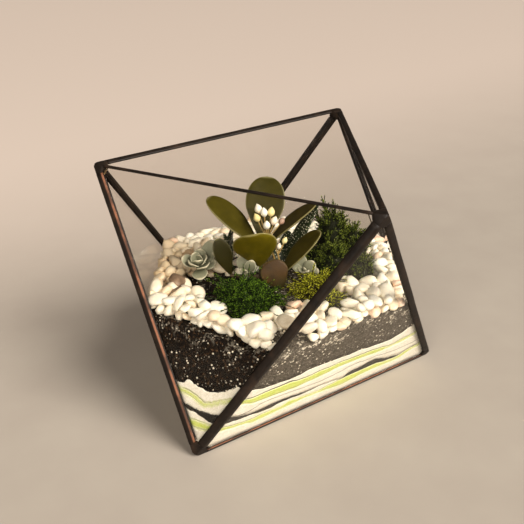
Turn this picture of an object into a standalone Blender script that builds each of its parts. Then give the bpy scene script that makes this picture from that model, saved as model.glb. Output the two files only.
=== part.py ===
"""Open-topped glass terrarium: a leaded octahedron with sand layers, soil, pebbles and plants.

Metres, +Z up.  The vessel stands on one triangular face with its top triangle left open; the
origin is on the surface it stands on, under its middle, and the front edge C-E faces -X -Y.
"""
import math
import random

import bmesh
import bpy
from mathutils import Matrix, Vector
from mathutils.bvhtree import BVHTree

MM = 0.001

# Vessel
EDGE = 180 * MM                 # edge of the octahedron
GLASS = 2 * MM                  # pane thickness
GAP = 0.3 * MM                  # clearance kept between touching pieces
BEAD = 0.9 * MM                 # how far the solder stands proud of the glass
SETBACK = 2.4 * MM              # pane edge to the octahedron's edge, where two panes meet
RIM_SETBACK = 1.2 * MM          # the same along the open mouth
WALL_SETBACK = 0.4 * MM         # the same for a wall standing over the base seam
FLOOR_SETBACK = 3.9 * MM        # and for the base pane beside it
CORNER = 8 * MM                 # length of the solder corners along each edge
FOIL = 3.7 * MM                 # reach of a seam over the outside of each pane
FOIL_INSIDE = 3.5 * MM          # the same on the inside
INSIDE_BEAD = 0.6 * MM          # how far the inner bead stands off the glass
BASE_FOIL = 1.5 * MM            # reach of a base seam up the outside of its wall
FLOOR_FOIL = 4.4 * MM           # and in under the base pane
RIM_FOIL = 1.8 * MM             # reach of the rim over its pane
RIM_BEAD = 0.8 * MM
BLUNT = 9.4 * MM                # pane corners are cut off this far from the octahedron's corner

# Filling: heights above the underside of the base pane
SOIL_LEVEL = 68 * MM            # flat middle of the soil
PEBBLE_LEVEL = 72.5 * MM        # crust that the pebbles stand out of
PEBBLE_PITCH = 15.5 * MM
HOLE_DEPTH = 7 * MM             # planting holes in the soil

RADIUS = EDGE / math.sqrt(3)
HEIGHT = EDGE * math.sqrt(2 / 3)
CENTRE = Vector((0, 0, BEAD + HEIGHT / 2))


def ring_point(degrees, height):
    """A corner of the octahedron, at a bearing round Z and a height above the base face."""
    angle = math.radians(degrees)
    return Vector((RADIUS * math.cos(angle), RADIUS * math.sin(angle), BEAD + height))


CORNERS = {"E": ring_point(-150, 0), "F": ring_point(-30, 0), "G": ring_point(90, 0),
           "A": ring_point(150, HEIGHT), "B": ring_point(30, HEIGHT), "C": ring_point(-90, HEIGHT)}
FACES = {"base": "EFG", "front_left": "ACE", "front": "CEF", "right": "BCF",
         "back_right": "BFG", "back": "ABG", "left": "AGE"}
SIDE_EDGES = {"front": "CE", "front_right": "CF", "right": "BF",
              "back_right": "BG", "back_left": "AG", "left": "AE"}
BASE_EDGES = {"front": "EF", "right": "FG", "left": "EG"}
RIM_EDGES = {"front_left": "AC", "right": "BC", "back": "AB"}


# ---------------------------------------------------------------- general helpers

def finish(name, colour, roughness, metallic=0.0, alpha=1.0):
    """A Principled material of one colour."""
    material = bpy.data.materials.new(name)
    material.use_nodes = True
    shader = material.node_tree.nodes["Principled BSDF"]
    shader.inputs["Base Color"].default_value = (*colour, 1)
    shader.inputs["Roughness"].default_value = roughness
    shader.inputs["Metallic"].default_value = metallic
    shader.inputs["Alpha"].default_value = alpha
    material.diffuse_color = (*colour, alpha)
    return material


def to_object(name, mesh_data, material=None):
    """Turn a closed bmesh into an object with its faces pointing out."""
    bmesh.ops.recalc_face_normals(mesh_data, faces=mesh_data.faces)
    mesh = bpy.data.meshes.new(name)
    mesh_data.to_mesh(mesh)
    mesh_data.free()
    if material:
        mesh.materials.append(material)
    made = bpy.data.objects.new(name, mesh)
    bpy.context.scene.collection.objects.link(made)
    return made


def apply_modifiers(target):
    """Replace the mesh by its evaluated form and drop the modifiers."""
    bpy.context.view_layer.update()
    evaluated = target.evaluated_get(bpy.context.evaluated_depsgraph_get())
    raw = target.data
    target.data = bpy.data.meshes.new_from_object(evaluated)
    target.modifiers.clear()
    bpy.data.meshes.remove(raw)


def combine(target, operation, others, solver="EXACT"):
    """One Boolean of the target with a collection of closed objects, applied; they are removed."""
    tools = bpy.data.collections.new(target.name + "_tools")
    bpy.context.scene.collection.children.link(tools)
    for other in others:
        bpy.context.scene.collection.objects.unlink(other)
        tools.objects.link(other)
        other.hide_render = True
        other.display_type = "WIRE"
    boolean = target.modifiers.new(operation.lower(), "BOOLEAN")
    boolean.operation = operation
    boolean.operand_type = "COLLECTION"
    boolean.collection = tools
    boolean.solver = solver
    apply_modifiers(target)
    for other in others:
        bpy.data.meshes.remove(other.data)
    bpy.data.collections.remove(tools)


def fuse(name, pieces, material, solver="EXACT"):
    """Join closed bmeshes that overlap into one solid object."""
    objects = [to_object(f"{name}_{i}", piece) for i, piece in enumerate(pieces)]
    whole = objects[0]
    whole.name = name
    combine(whole, "UNION", objects[1:], solver)
    tidy(whole)
    whole.data.materials.clear()
    whole.data.materials.append(material)
    return whole


def tidy(target):
    """Drop the loose scraps that a Boolean may leave, and triangulate."""
    mesh_data = bmesh.new()
    mesh_data.from_mesh(target.data)
    bmesh.ops.triangulate(mesh_data, faces=mesh_data.faces)
    keep = largest_island(mesh_data)
    scraps = [v for v in mesh_data.verts if v not in keep]
    bmesh.ops.delete(mesh_data, geom=scraps, context="VERTS")
    mesh_data.to_mesh(target.data)
    mesh_data.free()


def largest_island(mesh_data):
    """The vertices of the biggest connected part of a mesh."""
    unseen = set(mesh_data.verts)
    best = set()
    while unseen:
        front = [unseen.pop()]
        island = set(front)
        while front:
            for edge in front.pop().link_edges:
                for vert in edge.verts:
                    if vert in unseen:
                        unseen.remove(vert)
                        island.add(vert)
                        front.append(vert)
        if len(island) > len(best):
            best = island
    return best


def loft(rings, point=None):
    """A closed body through rings of points; the last ring may close on a single point."""
    body = bmesh.new()
    loops = [[body.verts.new(p) for p in ring] for ring in rings]
    for low, high in zip(loops, loops[1:]):
        for i in range(len(low)):
            j = (i + 1) % len(low)
            body.faces.new((low[i], low[j], high[j], high[i]))
    body.faces.new(loops[0][::-1])
    if point is None:
        body.faces.new(loops[-1])
    else:
        apex = body.verts.new(point)
        last = loops[-1]
        for i in range(len(last)):
            body.faces.new((last[i], last[(i + 1) % len(last)], apex))
    return body


def hull(points):
    """The convex body round a set of points."""
    body = bmesh.new()
    for p in points:
        body.verts.new(p)
    made = bmesh.ops.convex_hull(body, input=body.verts)
    spare = [g for g in made["geom_interior"] + made["geom_unused"] if isinstance(g, bmesh.types.BMVert)]
    bmesh.ops.delete(body, geom=list(set(spare)), context="VERTS")
    flats = 0.2
    bmesh.ops.dissolve_limit(body, angle_limit=math.radians(flats), verts=body.verts, edges=body.edges)
    return body


def half_space_body(planes):
    """The convex body inside planes, each given as (point, outward normal)."""
    body = bmesh.new()
    bmesh.ops.create_cube(body, size=4 * EDGE)
    for point, normal in planes:
        everything = body.verts[:] + body.edges[:] + body.faces[:]
        bmesh.ops.bisect_plane(body, geom=everything, dist=1e-7, plane_co=point, plane_no=normal,
                               clear_outer=True)
        rim = [e for e in body.edges if e.is_boundary]
        bmesh.ops.holes_fill(body, edges=rim, sides=0)
    return body


# ---------------------------------------------------------------- glass and solder

def outward(face):
    """Outward normal of a face named by its three corners."""
    a, b, c = (CORNERS[k] for k in face)
    normal = (b - a).cross(c - a).normalized()
    return normal if normal.dot(a - CENTRE) > 0 else -normal


def panes_on(edge):
    """For each pane on an edge: the direction into the pane, and the one into the vessel."""
    a, b = (CORNERS[k] for k in edge)
    along = (b - a).normalized()
    sides = []
    for face in FACES.values():
        if set(edge) <= set(face):
            into = sum((CORNERS[k] for k in face), Vector()) / 3 - a
            into -= into.dot(along) * along
            sides.append((into.normalized(), -outward(face)))
    return sides


def setback(face, edge):
    """Distance from an edge of the octahedron to the edge of a pane."""
    if edge in RIM_EDGES.values():
        return RIM_SETBACK
    if edge in BASE_EDGES.values():
        return FLOOR_SETBACK if face == FACES["base"] else WALL_SETBACK
    return SETBACK


def pane(name, face, material):
    """A flat pane, set back from the octahedron's edges and blunted at its corners."""
    normal = outward(face)
    corners = [CORNERS[k] for k in face]
    middle = sum(corners, Vector()) / 3
    planes = [(corners[0], normal), (corners[0] - normal * GLASS, -normal)]
    for i in range(3):
        edge = "".join(sorted(face[i] + face[(i + 1) % 3]))
        into = next(d for d, inward in panes_on(edge) if inward.dot(normal) < -0.99)
        planes.append((corners[i] + into * setback(face, edge), -into))
        to_middle = (middle - corners[i]).normalized()
        planes.append((corners[i] + to_middle * BLUNT, -to_middle))
    return to_object(name, half_space_body(planes), material)


INSIDE_APEX = 4.55 * MM         # inner face of a seam, from the octahedron's edge


def seam_section(edge):
    """Outline of a seam as offsets from the edge: outer bead, web between panes, inner bead."""
    sides = panes_on(edge)
    if len(sides) == 1:
        return rim_section(*sides[0])
    if edge in BASE_EDGES.values():
        return base_section(*sorted(sides, key=lambda side: side[1].z))
    inward = (sides[0][1] + sides[1][1]).normalized()
    web = SETBACK - GAP
    half = [(0.6 * MM, -BEAD), (FOIL - 0.7 * MM, -BEAD), (FOIL, -GAP), (web, -GAP), (web, GLASS + GAP),
            (FOIL_INSIDE, GLASS + GAP), (FOIL_INSIDE - 0.5 * MM, GLASS + GAP + INSIDE_BEAD)]
    one, two = ([into * p + deep * q for p, q in half] for into, deep in sides)
    nose = 1.0 * MM
    return [-inward * nose] + one + [inward * INSIDE_APEX] + two[::-1]


def base_section(wall, floor):
    """Outline of a base seam: a narrow strip up the wall, a web under it, a wide strip below."""
    nose = (wall[1] + floor[1]).normalized() * -0.9 * MM
    web = WALL_SETBACK - GAP
    climb = 1.2 * MM                # the web's reach up the wall's inner face
    edge = FLOOR_SETBACK - GAP
    standing = [(0.5 * MM, -BEAD), (BASE_FOIL - 0.3 * MM, -BEAD), (BASE_FOIL, -GAP), (web, -GAP),
                (web, GLASS + GAP), (climb, GLASS + GAP)]
    lying = [(edge, GLASS - 0.1 * MM), (edge, -GAP), (FLOOR_FOIL, -GAP), (FLOOR_FOIL, -BEAD), (0.5 * MM, -BEAD)]
    return ([nose] + [wall[0] * p + wall[1] * q for p, q in standing]
            + [floor[0] * p + floor[1] * q for p, q in lying])


def rim_section(into, deep):
    """Outline of the solder round the bare edge of one pane, open towards the pane."""
    side = RIM_BEAD
    far = GLASS + side
    web = RIM_SETBACK - GAP
    tip = 0.1 * MM
    outline = [(tip, -0.2 * MM), (0.7 * MM, -side), (RIM_FOIL - 0.5 * MM, -side), (RIM_FOIL, -GAP),
               (web, -GAP), (web, GLASS + GAP), (RIM_FOIL, GLASS + GAP), (RIM_FOIL - 0.5 * MM, far),
               (0.7 * MM, far), (tip, GLASS + 0.2 * MM)]
    return [into * p + deep * q for p, q in outline]


def seam(name, edge, material):
    """The solder along one edge, ending short of the corner pieces."""
    a, b = (CORNERS[k] for k in edge)
    along = (b - a).normalized()
    section = seam_section(edge)
    ends = (a + along * (CORNER + GAP), b - along * (CORNER + GAP))
    return to_object(name, loft([[end + p for p in section] for end in ends]), material)


def corner(name, key, material):
    """The rounded lump of solder where four seams meet."""
    tip = CORNERS[key]
    points = [tip + (CENTRE - tip).normalized() * 0.6 * MM]
    for edge in list(SIDE_EDGES.values()) + list(BASE_EDGES.values()) + list(RIM_EDGES.values()):
        if key in edge:
            far = CORNERS[edge.replace(key, "")]
            along = (far - tip).normalized()
            section = seam_section(edge)
            points += [tip + along * CORNER + p for p in section]
            crown = [section[0], section[1], section[-1]]
            points += [tip + along * 2.2 * MM + p * 0.9 for p in crown]
    return to_object(name, hull(points), material)


def cavity():
    """The clear space inside the panes, seams and corners, as a closed cutter."""
    planes = [(CORNERS[face[0]] - outward(face) * (GLASS + GAP), outward(face)) for face in FACES.values()]
    for edge in SIDE_EDGES.values():
        inward = sum((deep for into, deep in panes_on(edge)), Vector()).normalized()
        planes.append((CORNERS[edge[0]] + inward * (INSIDE_APEX + GAP), -inward))
    corner_depth = (CORNER + INSIDE_APEX) * math.sqrt(0.5) + GAP
    for key in "EFG":
        inward = (CENTRE - CORNERS[key]).normalized()
        planes.append((CORNERS[key] + inward * corner_depth, -inward))
    planes.append((Vector((0, 0, BEAD + 0.75 * HEIGHT)), Vector((0, 0, 1))))
    return half_space_body(planes)


# ---------------------------------------------------------------- sand, soil and pebbles

# Each surface is a wavy line round the glass: (bearing in degrees, height in mm) pairs.
WHITE_LOWER_TOP = ((-170, 13.6), (-157, 13.9), (-150, 14.5), (-146.6, 15), (-143, 13), (-140.3, 11.2),
                   (-137, 9.7), (-134.5, 7.8), (-131.5, 8.1), (-127, 8.4), (-122, 8.7), (-112.5, 9.3),
                   (-105.3, 9.7), (-97.4, 9.1), (-89, 8.7), (-84.5, 7.8), (-75.8, 6.8), (-68, 7.5),
                   (-61.4, 8.6), (-55, 9), (-47, 8.6), (-42, 8.4), (-36, 13.2), (0, 10), (45, 6), (90, 10),
                   (140, 9))
GREEN_LOWER_TOP = ((-170, 18), (-157, 18.3), (-150, 18.7), (-146.5, 18.6), (-143, 16.2), (-140, 13.7),
                   (-137, 12.5), (-134.3, 11.8), (-130.3, 12.7), (-127, 12.4), (-121.8, 11.9),
                   (-115.9, 13.7), (-109.3, 12.7), (-101.8, 11.7), (-93.8, 11.3), (-86, 12.4), (-78.2, 13),
                   (-70, 13.6), (-60, 13.6), (-54.1, 13.6), (-48.1, 11.9), (-43.1, 11), (-38.5, 14.5),
                   (-35.8, 15.6), (0, 14), (45, 9.5), (90, 14), (140, 13))
WHITE_MIDDLE_TOP = ((-175, 22), (-157, 23.2), (-153.7, 23), (-150.3, 21.8), (-146.5, 20), (-143, 19.2),
                    (-140.3, 18.3), (-138.1, 17.2), (-134.8, 16.8), (-131.1, 15.4), (-126.8, 15),
                    (-121.7, 16.2), (-116, 16.1), (-109.6, 15.2), (-102.5, 15.4), (-95, 15.9), (-87, 15.2),
                    (-76, 13.5), (-70.8, 13.9), (-60, 13.9), (-54.3, 13.9), (-48.2, 12.2), (-43.2, 11.4),
                    (-38.5, 14.8), (-36, 15.9), (0, 18), (45, 14), (90, 18), (140, 18))
BLACK_TOP = ((-175, 24.4), (-157.7, 25.4), (-156, 26), (-153, 25), (-150.6, 24.5), (-146.5, 24.8),
             (-143, 25.4), (-141, 25.2), (-139.3, 23), (-137.7, 20.4), (-134.6, 18.6), (-130.9, 18.5),
             (-126, 19.3), (-121.7, 19.3), (-116.1, 18.6), (-109.8, 17.3), (-102.7, 16.6), (-95.3, 16.3),
             (-87, 15.4), (-77, 14.1), (-72.4, 17.4), (-65.3, 18.1), (-59.6, 19.5), (-56.7, 19.7),
             (-53.2, 18), (-49.5, 15.6), (-46.7, 14.5), (-42, 12.6), (-40, 13.4), (-37.3, 16), (0, 20),
             (45, 15.5), (90, 20.5), (140, 21))
WHITE_UPPER_TOP = ((-170, 31), (-160, 31.4), (-157.6, 31.7), (-155.4, 31), (-153, 29.7), (-150.9, 28.4),
                   (-149.2, 27.7), (-146.8, 28.8), (-144.8, 30.4), (-142, 32.6), (-139.5, 33.8),
                   (-136, 32), (-132.1, 28.3), (-126.2, 27.5), (-119.1, 26.6), (-113.5, 25.9),
                   (-104.2, 26.4), (-93.9, 26.9), (-83.4, 28.2), (-69.2, 27.7), (-56.4, 26.2),
                   (-46.8, 26.8), (-42, 28.9), (0, 26), (45, 22), (90, 27), (140, 28))
GREEN_UPPER_TOP = ((-170, 34), (-157.9, 34.2), (-155.7, 33.7), (-153.4, 32.7), (-151.1, 31.1),
                   (-149.4, 29.9), (-146.9, 30.8), (-144.9, 32.2), (-143, 33.7), (-141, 34.9),
                   (-139, 36.2), (-136, 35.8), (-132, 33.8), (-126, 34.1), (-121, 33.7), (-116.7, 33.7),
                   (-111.1, 32.1), (-104.9, 31.6), (-98.6, 32.4), (-91.5, 32), (-84.7, 32.5),
                   (-77.5, 31.8), (-70.6, 31.3), (-64.2, 31), (-57.9, 29.9), (-51.8, 28), (-46, 29.8),
                   (-42, 31.2), (0, 31), (45, 28), (90, 31), (140, 32))
WHITE_TOP = ((-176, 36.3), (-162, 36.5), (-158.9, 37.3), (-157.5, 39.7), (-155.9, 39.9), (-154, 38.2),
             (-151.7, 37.4), (-148.2, 36.3), (-144.1, 37.8), (-141.7, 39.2), (-139, 41.5), (-136.2, 44),
             (-133, 42.8), (-130.9, 41.1), (-128, 38.8), (-121.5, 37.9), (-116.8, 36.9), (-111.5, 37.1),
             (-106.2, 38.7), (-99.6, 38.3), (-86.2, 37.5), (-79, 36.5), (-72.7, 37), (-65.8, 35.4),
             (-57, 34.4), (-54.4, 34.3), (-50.4, 36.2), (-47.3, 39.6), (-45.3, 39.5), (-30, 38.5), (0, 36),
             (45, 38), (90, 36), (140, 38))
SOIL_TOP = ((-176, 69.3), (-170, 70), (-164, 68.6), (-158, 68), (-150, 67.3), (-143, 67.1), (-140, 64.2),
            (-136, 61.8), (-132, 62.2), (-128, 66.6), (-121, 64), (-114, 64.8), (-104, 64.1), (-96, 62.9),
            (-89, 63), (-85, 68.6), (-78, 67.8), (-65, 64.4), (-56, 62.5), (-30, 62.5), (0, 63.5),
            (45, 61.5), (90, 63), (140, 65))
PEBBLE_TOP = ((-176, 76), (-153, 74.5), (-137, 73), (-120, 72), (-89, 72), (-80, 74), (-55, 71.5),
              (0, 71), (60, 70), (120, 71))
LAYERS = (("sand_white_lower", WHITE_LOWER_TOP), ("sand_green_lower", GREEN_LOWER_TOP),
          ("sand_white_middle", WHITE_MIDDLE_TOP), ("sand_black", BLACK_TOP),
          ("sand_white_upper", WHITE_UPPER_TOP), ("sand_green_upper", GREEN_UPPER_TOP),
          ("sand_white_top", WHITE_TOP), ("soil", SOIL_TOP))
THINNEST = 0.9 * MM


def bearings():
    """Bearings of the grid, close together across the two front panes and wider behind."""
    front = [-180 + 6 * i for i in range(26)]
    behind = [-30 + 21 * i for i in range(1, 10)]
    return front + behind


def wave_height(wave, bearing):
    """Height of a wavy surface at the glass: its points joined by smooth half-waves."""
    ring = list(wave) + [(wave[0][0] + 360, wave[0][1])]
    if bearing < ring[0][0]:
        bearing += 360
    for (start, low), (end, high) in zip(ring, ring[1:]):
        if start <= bearing <= end:
            share = (bearing - start) / (end - start)
            return (low + (high - low) * (1 - math.cos(math.pi * share)) / 2) * MM
    raise ValueError(bearing)


def wall_distance(bearing, height):
    """Distance from the axis to the inside of the glass at a bearing and height."""
    direction = Vector((math.cos(math.radians(bearing)), math.sin(math.radians(bearing)), 0))
    reach = []
    for face in FACES.values():
        normal = outward(face)
        facing = normal.dot(direction)
        if facing > 0.01:
            plane = normal.dot(CORNERS[face[0]]) - GLASS - normal.z * (BEAD + height)
            reach.append(plane / facing)
    return min(reach)


def wavy_surface(wave, flat, level):
    """Rings of points over the whole vessel: level up to the flat share, wavy at the glass."""
    grid = bearings()
    rings = []
    for share, rise in ((flat, 0), (0.9, 1), (None, 1))[flat is None:]:
        ring = []
        for bearing in grid:
            at_glass = wave_height(wave, bearing)
            reach = RADIUS * 1.2 if share is None else share * wall_distance(bearing, at_glass)
            z = BEAD + level + (at_glass - level) * rise
            angle = math.radians(bearing)
            ring.append(Vector((reach * math.cos(angle), reach * math.sin(angle), z)))
        rings.append(ring)
    return Vector((0, 0, BEAD + level)), rings


def slab(bottom, top):
    """A closed body between two wavy surfaces."""
    body = bmesh.new()
    edges = []
    for centre, rings in (bottom, top):
        hub = body.verts.new(centre)
        loops = [[body.verts.new(p) for p in ring] for ring in rings]
        count = len(loops[0])
        for i in range(count):
            j = (i + 1) % count
            body.faces.new((hub, loops[0][i], loops[0][j]))
            for inner, outer in zip(loops, loops[1:]):
                body.faces.new((inner[i], outer[i], outer[j]))
                body.faces.new((inner[i], outer[j], inner[j]))
        edges.append(loops[-1])
    low, high = edges
    for i in range(len(low)):
        j = (i + 1) % len(low)
        body.faces.new((low[i], low[j], high[j], high[i]))
    return body


def shifted(surface, rise):
    """The same surface moved straight up."""
    centre, rings = surface
    up = Vector((0, 0, rise))
    return centre + up, [[p + up for p in ring] for ring in rings]


def mean_level(wave):
    """Average height of a wave, which its layer keeps across the middle."""
    return sum(height for bearing, height in wave) / len(wave) * MM


def above(lower, upper):
    """Keep a surface at least the thinnest layer above the one under it."""
    rings = []
    for low_ring, high_ring in zip(lower[1][::-1], upper[1][::-1]):
        rings.insert(0, [Vector((h.x, h.y, max(h.z, l.z + THINNEST))) for l, h in zip(low_ring, high_ring)])
    rings = upper[1][:len(upper[1]) - len(rings)] + rings
    centre = Vector((0, 0, max(upper[0].z, lower[0].z + THINNEST)))
    return centre, rings


def pour_layers(materials):
    """Sand and soil, each cut to the inside of the vessel, a gap apart; returns the soil's top."""
    floor = wavy_surface(((-180, -9), (0, -9)), None, -9 * MM)
    below = floor
    for name, wave in LAYERS:
        level = SOIL_LEVEL if name == "soil" else mean_level(wave)
        surface = above(below, wavy_surface(wave, 0.62 if name == "soil" else None, level))
        body = slab(shifted(below, GAP / 2), shifted(surface, -GAP / 2))
        colour = name.split("_")[1] if name.startswith("sand") else name
        layer = to_object(name, body)
        combine(layer, "INTERSECT", [to_object("inside", cavity())])
        tidy(layer)
        layer.data.materials.clear()
        layer.data.materials.append(materials[colour])
        below = surface
    return below


# Bare ground round the plants, as ellipses in the pebble crust: x, y and half-widths (mm)
CLEARINGS = ((-9, -11, 16, 14), (-46, 13, 10, 10), (-57, 18, 7, 6), (-24, -5, 8, 8), (-30, 1, 7, 7),
             (8, -22, 9, 8), (2, -11, 9, 9), (-20, 25, 8, 8), (-37, -27, 17, 16), (-41, -38, 11.5, 9.5),
             (-26, -37, 9.5, 9.5), (-45, -12, 10, 10), (37, -12, 15, 14), (47, -20, 13, 12),
             (28, -24, 13, 12), (40, -33, 11, 11), (22, -14, 10, 10), (3, -36, 11.5, 7.5),
             (13, -37, 8.5, 7.5), (4, -52, 7.5, 6.5), (-13, -28, 8, 7))
STONE_AT = Vector((-33 * MM, -66 * MM))


def in_clearing(x, y, margin):
    """Whether a place is bare ground, or within a margin of it."""
    for cx, cy, wide, deep in CLEARINGS:
        across = (x - cx * MM) / (wide * MM + margin)
        along = (y - cy * MM) / (deep * MM + margin)
        if across * across + along * along < 1:
            return True
    return False


def clearing_cutters():
    """Upright elliptical cutters for the bare ground."""
    cutters = []
    for x, y, wide, deep in CLEARINGS:
        rings = []
        for height in (50, 90):
            turns = [math.tau * (i + 0.5) / 9 for i in range(9)]
            rings.append([at(x + wide * math.cos(t), y + deep * math.sin(t), height) for t in turns])
        cutters.append(to_object("clearing", loft(rings)))
    return cutters


def stone(rng, centre, size, sunk, detail=1):
    """A lumpy flattened pebble with a random turn, cut flat a little below its middle."""
    body = bmesh.new()
    bmesh.ops.create_icosphere(body, subdivisions=detail, radius=1)
    turn = Matrix.Rotation(rng.uniform(0, math.tau), 3, "Z") @ Matrix.Rotation(rng.uniform(-0.3, 0.3), 3, "X")
    for vert in body.verts:
        lump = 1 + rng.uniform(-0.09, 0.09)
        vert.co = turn @ Vector((c * s * lump for c, s in zip(vert.co, size))) + centre
        vert.co.z = max(vert.co.z, centre.z - sunk)
    return body


def pebble_bed(soil_top, material):
    """A crust of marble pebbles over the soil, open round the plants."""
    rng = random.Random(11)
    surface = above(soil_top, wavy_surface(PEBBLE_TOP, 0.62, PEBBLE_LEVEL))
    pieces = [slab(shifted(soil_top, GAP / 2), surface)]
    rows = int(RADIUS / (PEBBLE_PITCH * 0.866)) + 1
    for row in range(-rows, rows + 1):
        for column in range(-rows, rows + 1):
            x = (column + 0.5 * (row % 2)) * PEBBLE_PITCH + rng.uniform(-1.3, 1.3) * MM
            y = row * PEBBLE_PITCH * 0.866 + rng.uniform(-1.3, 1.3) * MM
            bearing = math.degrees(math.atan2(y, x))
            reach = wall_distance(bearing, PEBBLE_LEVEL)
            distance = math.hypot(x, y)
            if distance > reach - 3 * MM or in_clearing(x, y, 2.5 * MM):
                continue
            if (Vector((x, y)) - STONE_AT).length < 14 * MM:
                continue
            at_glass = wave_height(PEBBLE_TOP, bearing)
            slope = min(1, max(0, (distance / reach - 0.62) / 0.28))
            z = BEAD + PEBBLE_LEVEL + (at_glass - PEBBLE_LEVEL) * slope + rng.uniform(0, 1.2) * MM
            size = [rng.uniform(*span) * MM for span in ((6.4, 8), (5.4, 6.8), (4, 5))]
            pieces.append(stone(rng, Vector((x, y, z)), size, 1.8 * MM))
    bed = fuse("pebble_bed", pieces, material)
    combine(bed, "INTERSECT", [to_object("inside", cavity())])
    combine(bed, "DIFFERENCE", clearing_cutters())
    tidy(bed)
    bed.data.materials.clear()
    bed.data.materials.append(material)


# ---------------------------------------------------------------- plants

# Half-width along a leaf, as (share of the length, share of the half-width)
BROAD = ((0, 0.16), (0.12, 0.3), (0.3, 0.72), (0.52, 1), (0.74, 0.96), (0.91, 0.62))
SPOON = ((0, 0.35), (0.5, 0.85), (0.82, 0.9))
SPIKE = ((0, 0.8), (0.3, 1), (0.68, 0.62))


def at(x, y, z):
    """A point given in mm, with z above the underside of the base pane."""
    return Vector((x * MM, y * MM, z * MM + BEAD))


def blade(root, tip, facing, width, thickness, outline, sides=8, cup=0.0, bow=0.0):
    """A leaf from root to tip: oval rings of the outline's width, cupped and bowed to its face."""
    axis = tip - root
    across = axis.cross(facing).normalized()
    normal = across.cross(axis).normalized()
    rings = []
    for share, span in outline:
        lift = bow * 4 * share * (1 - share) * axis.length
        middle = root + axis * share + normal * lift
        half_thick = max(0.35 * MM, thickness / 2 * (0.55 + 0.45 * span))
        ring = []
        for i in range(sides):
            angle = math.tau * i / sides
            side = math.cos(angle)
            raised = math.sin(angle) * half_thick + cup * width * span * side * side
            ring.append(middle + across * (side * span * width / 2) + normal * raised)
        rings.append(ring)
    return loft(rings, tip + normal * cup * width * 0.3)


def rod(points, radii, sides=6):
    """A closed stem of round section through a few points."""
    rings = []
    for i, (point, radius) in enumerate(zip(points, radii)):
        along = (points[min(i + 1, len(points) - 1)] - points[max(i - 1, 0)]).normalized()
        across = along.orthogonal().normalized()
        other = along.cross(across)
        turns = [math.tau * k / sides for k in range(sides)]
        rings.append([point + (across * math.cos(t) + other * math.sin(t)) * radius for t in turns])
    return loft(rings)


def dome(centre, size, rise, sides=9):
    """A low rounded mound: its foot ring, a shoulder ring and a top point."""
    foot, shoulder = [], []
    for i in range(sides):
        turn = math.tau * i / sides
        spoke = Vector((math.cos(turn) * size[0], math.sin(turn) * size[1], 0))
        foot.append(centre + spoke)
        shoulder.append(centre + spoke * 0.72 + Vector((0, 0, rise * 0.72)))
    return loft([foot, shoulder], centre + Vector((0, 0, rise)))


STEM_FOOT = SOIL_LEVEL - HOLE_DEPTH + GAP + 0.2 * MM


def peg(x, y, radius, top):
    """The foot of a plant, standing in its hole in the soil."""
    low = Vector((x * MM, y * MM, BEAD + STEM_FOOT))
    return rod([low, at(x, y, top)], [radius * MM] * 2)


def jade_plant(material):
    """Broad thick leaves on a short stem and on two branches creeping from its foot."""
    pieces = [rod([Vector((-12 * MM, -6 * MM, BEAD + STEM_FOOT)), at(-11.5, -6, 76), at(-9.5, -4.5, 95)],
                  [3.2 * MM, 3 * MM, 2 * MM], 8),
              rod([at(-12, -6, 72), at(-21, -0.5, 72), at(-30, 2, 74.5)], [1.6 * MM, 1.4 * MM, 1.2 * MM]),
              rod([at(-12, -6, 73), at(-11.5, -15, 73), at(-9.5, -20.5, 77)], [2 * MM, 1.8 * MM, 1.4 * MM]),
              rod([at(-11.5, -15, 73), at(-12.5, -29, 74)], [1.5 * MM, 1.4 * MM])]
    leaves = (
        # root, tip, facing, width, thickness, cup, bow
        ((-9.7, -3.2, 93.5), (6.1, 14.9, 127.2), (-0.43, -0.71, 0.56), 24, 2.6, 0.06, 0.05),
        ((-12, -4.5, 89.5), (-31.7, 23.7, 119.7), (0.34, -0.58, 0.74), 20.5, 2.6, 0.04, 0.04),
        ((-13.5, -6.2, 79), (-24.3, -15.2, 107.6), (0.53, 0.85, -0.03), 27, 2.6, 0.07, 0.02),
        ((-9, -6, 91.5), (23.4, -12.9, 114.3), (-0.52, 0.27, 0.81), 16.5, 2.6, 0.05, 0.04),
        ((-9.5, -20.8, 77), (19, -23.6, 101.4), (-0.54, 0.16, 0.83), 17, 2.6, 0.05, 0.03),
        ((-12.7, -29.3, 73.5), (-16.2, -20.2, 90), (-0.3, -0.71, 0.64), 17, 2.4, 0.03, 0.02),
        ((-30, 2, 74.5), (-34.5, 9, 98.5), (-0.3, -0.8, 0.35), 9.5, 2.4, 0.04, 0.02),
    )
    for root, tip, facing, width, thickness, cup, bow in leaves:
        pieces.append(blade(at(*root), at(*tip), Vector(facing), width * MM, thickness * MM, BROAD, 7,
                            cup, bow))
    return fuse("jade_plant", pieces, material)


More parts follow.
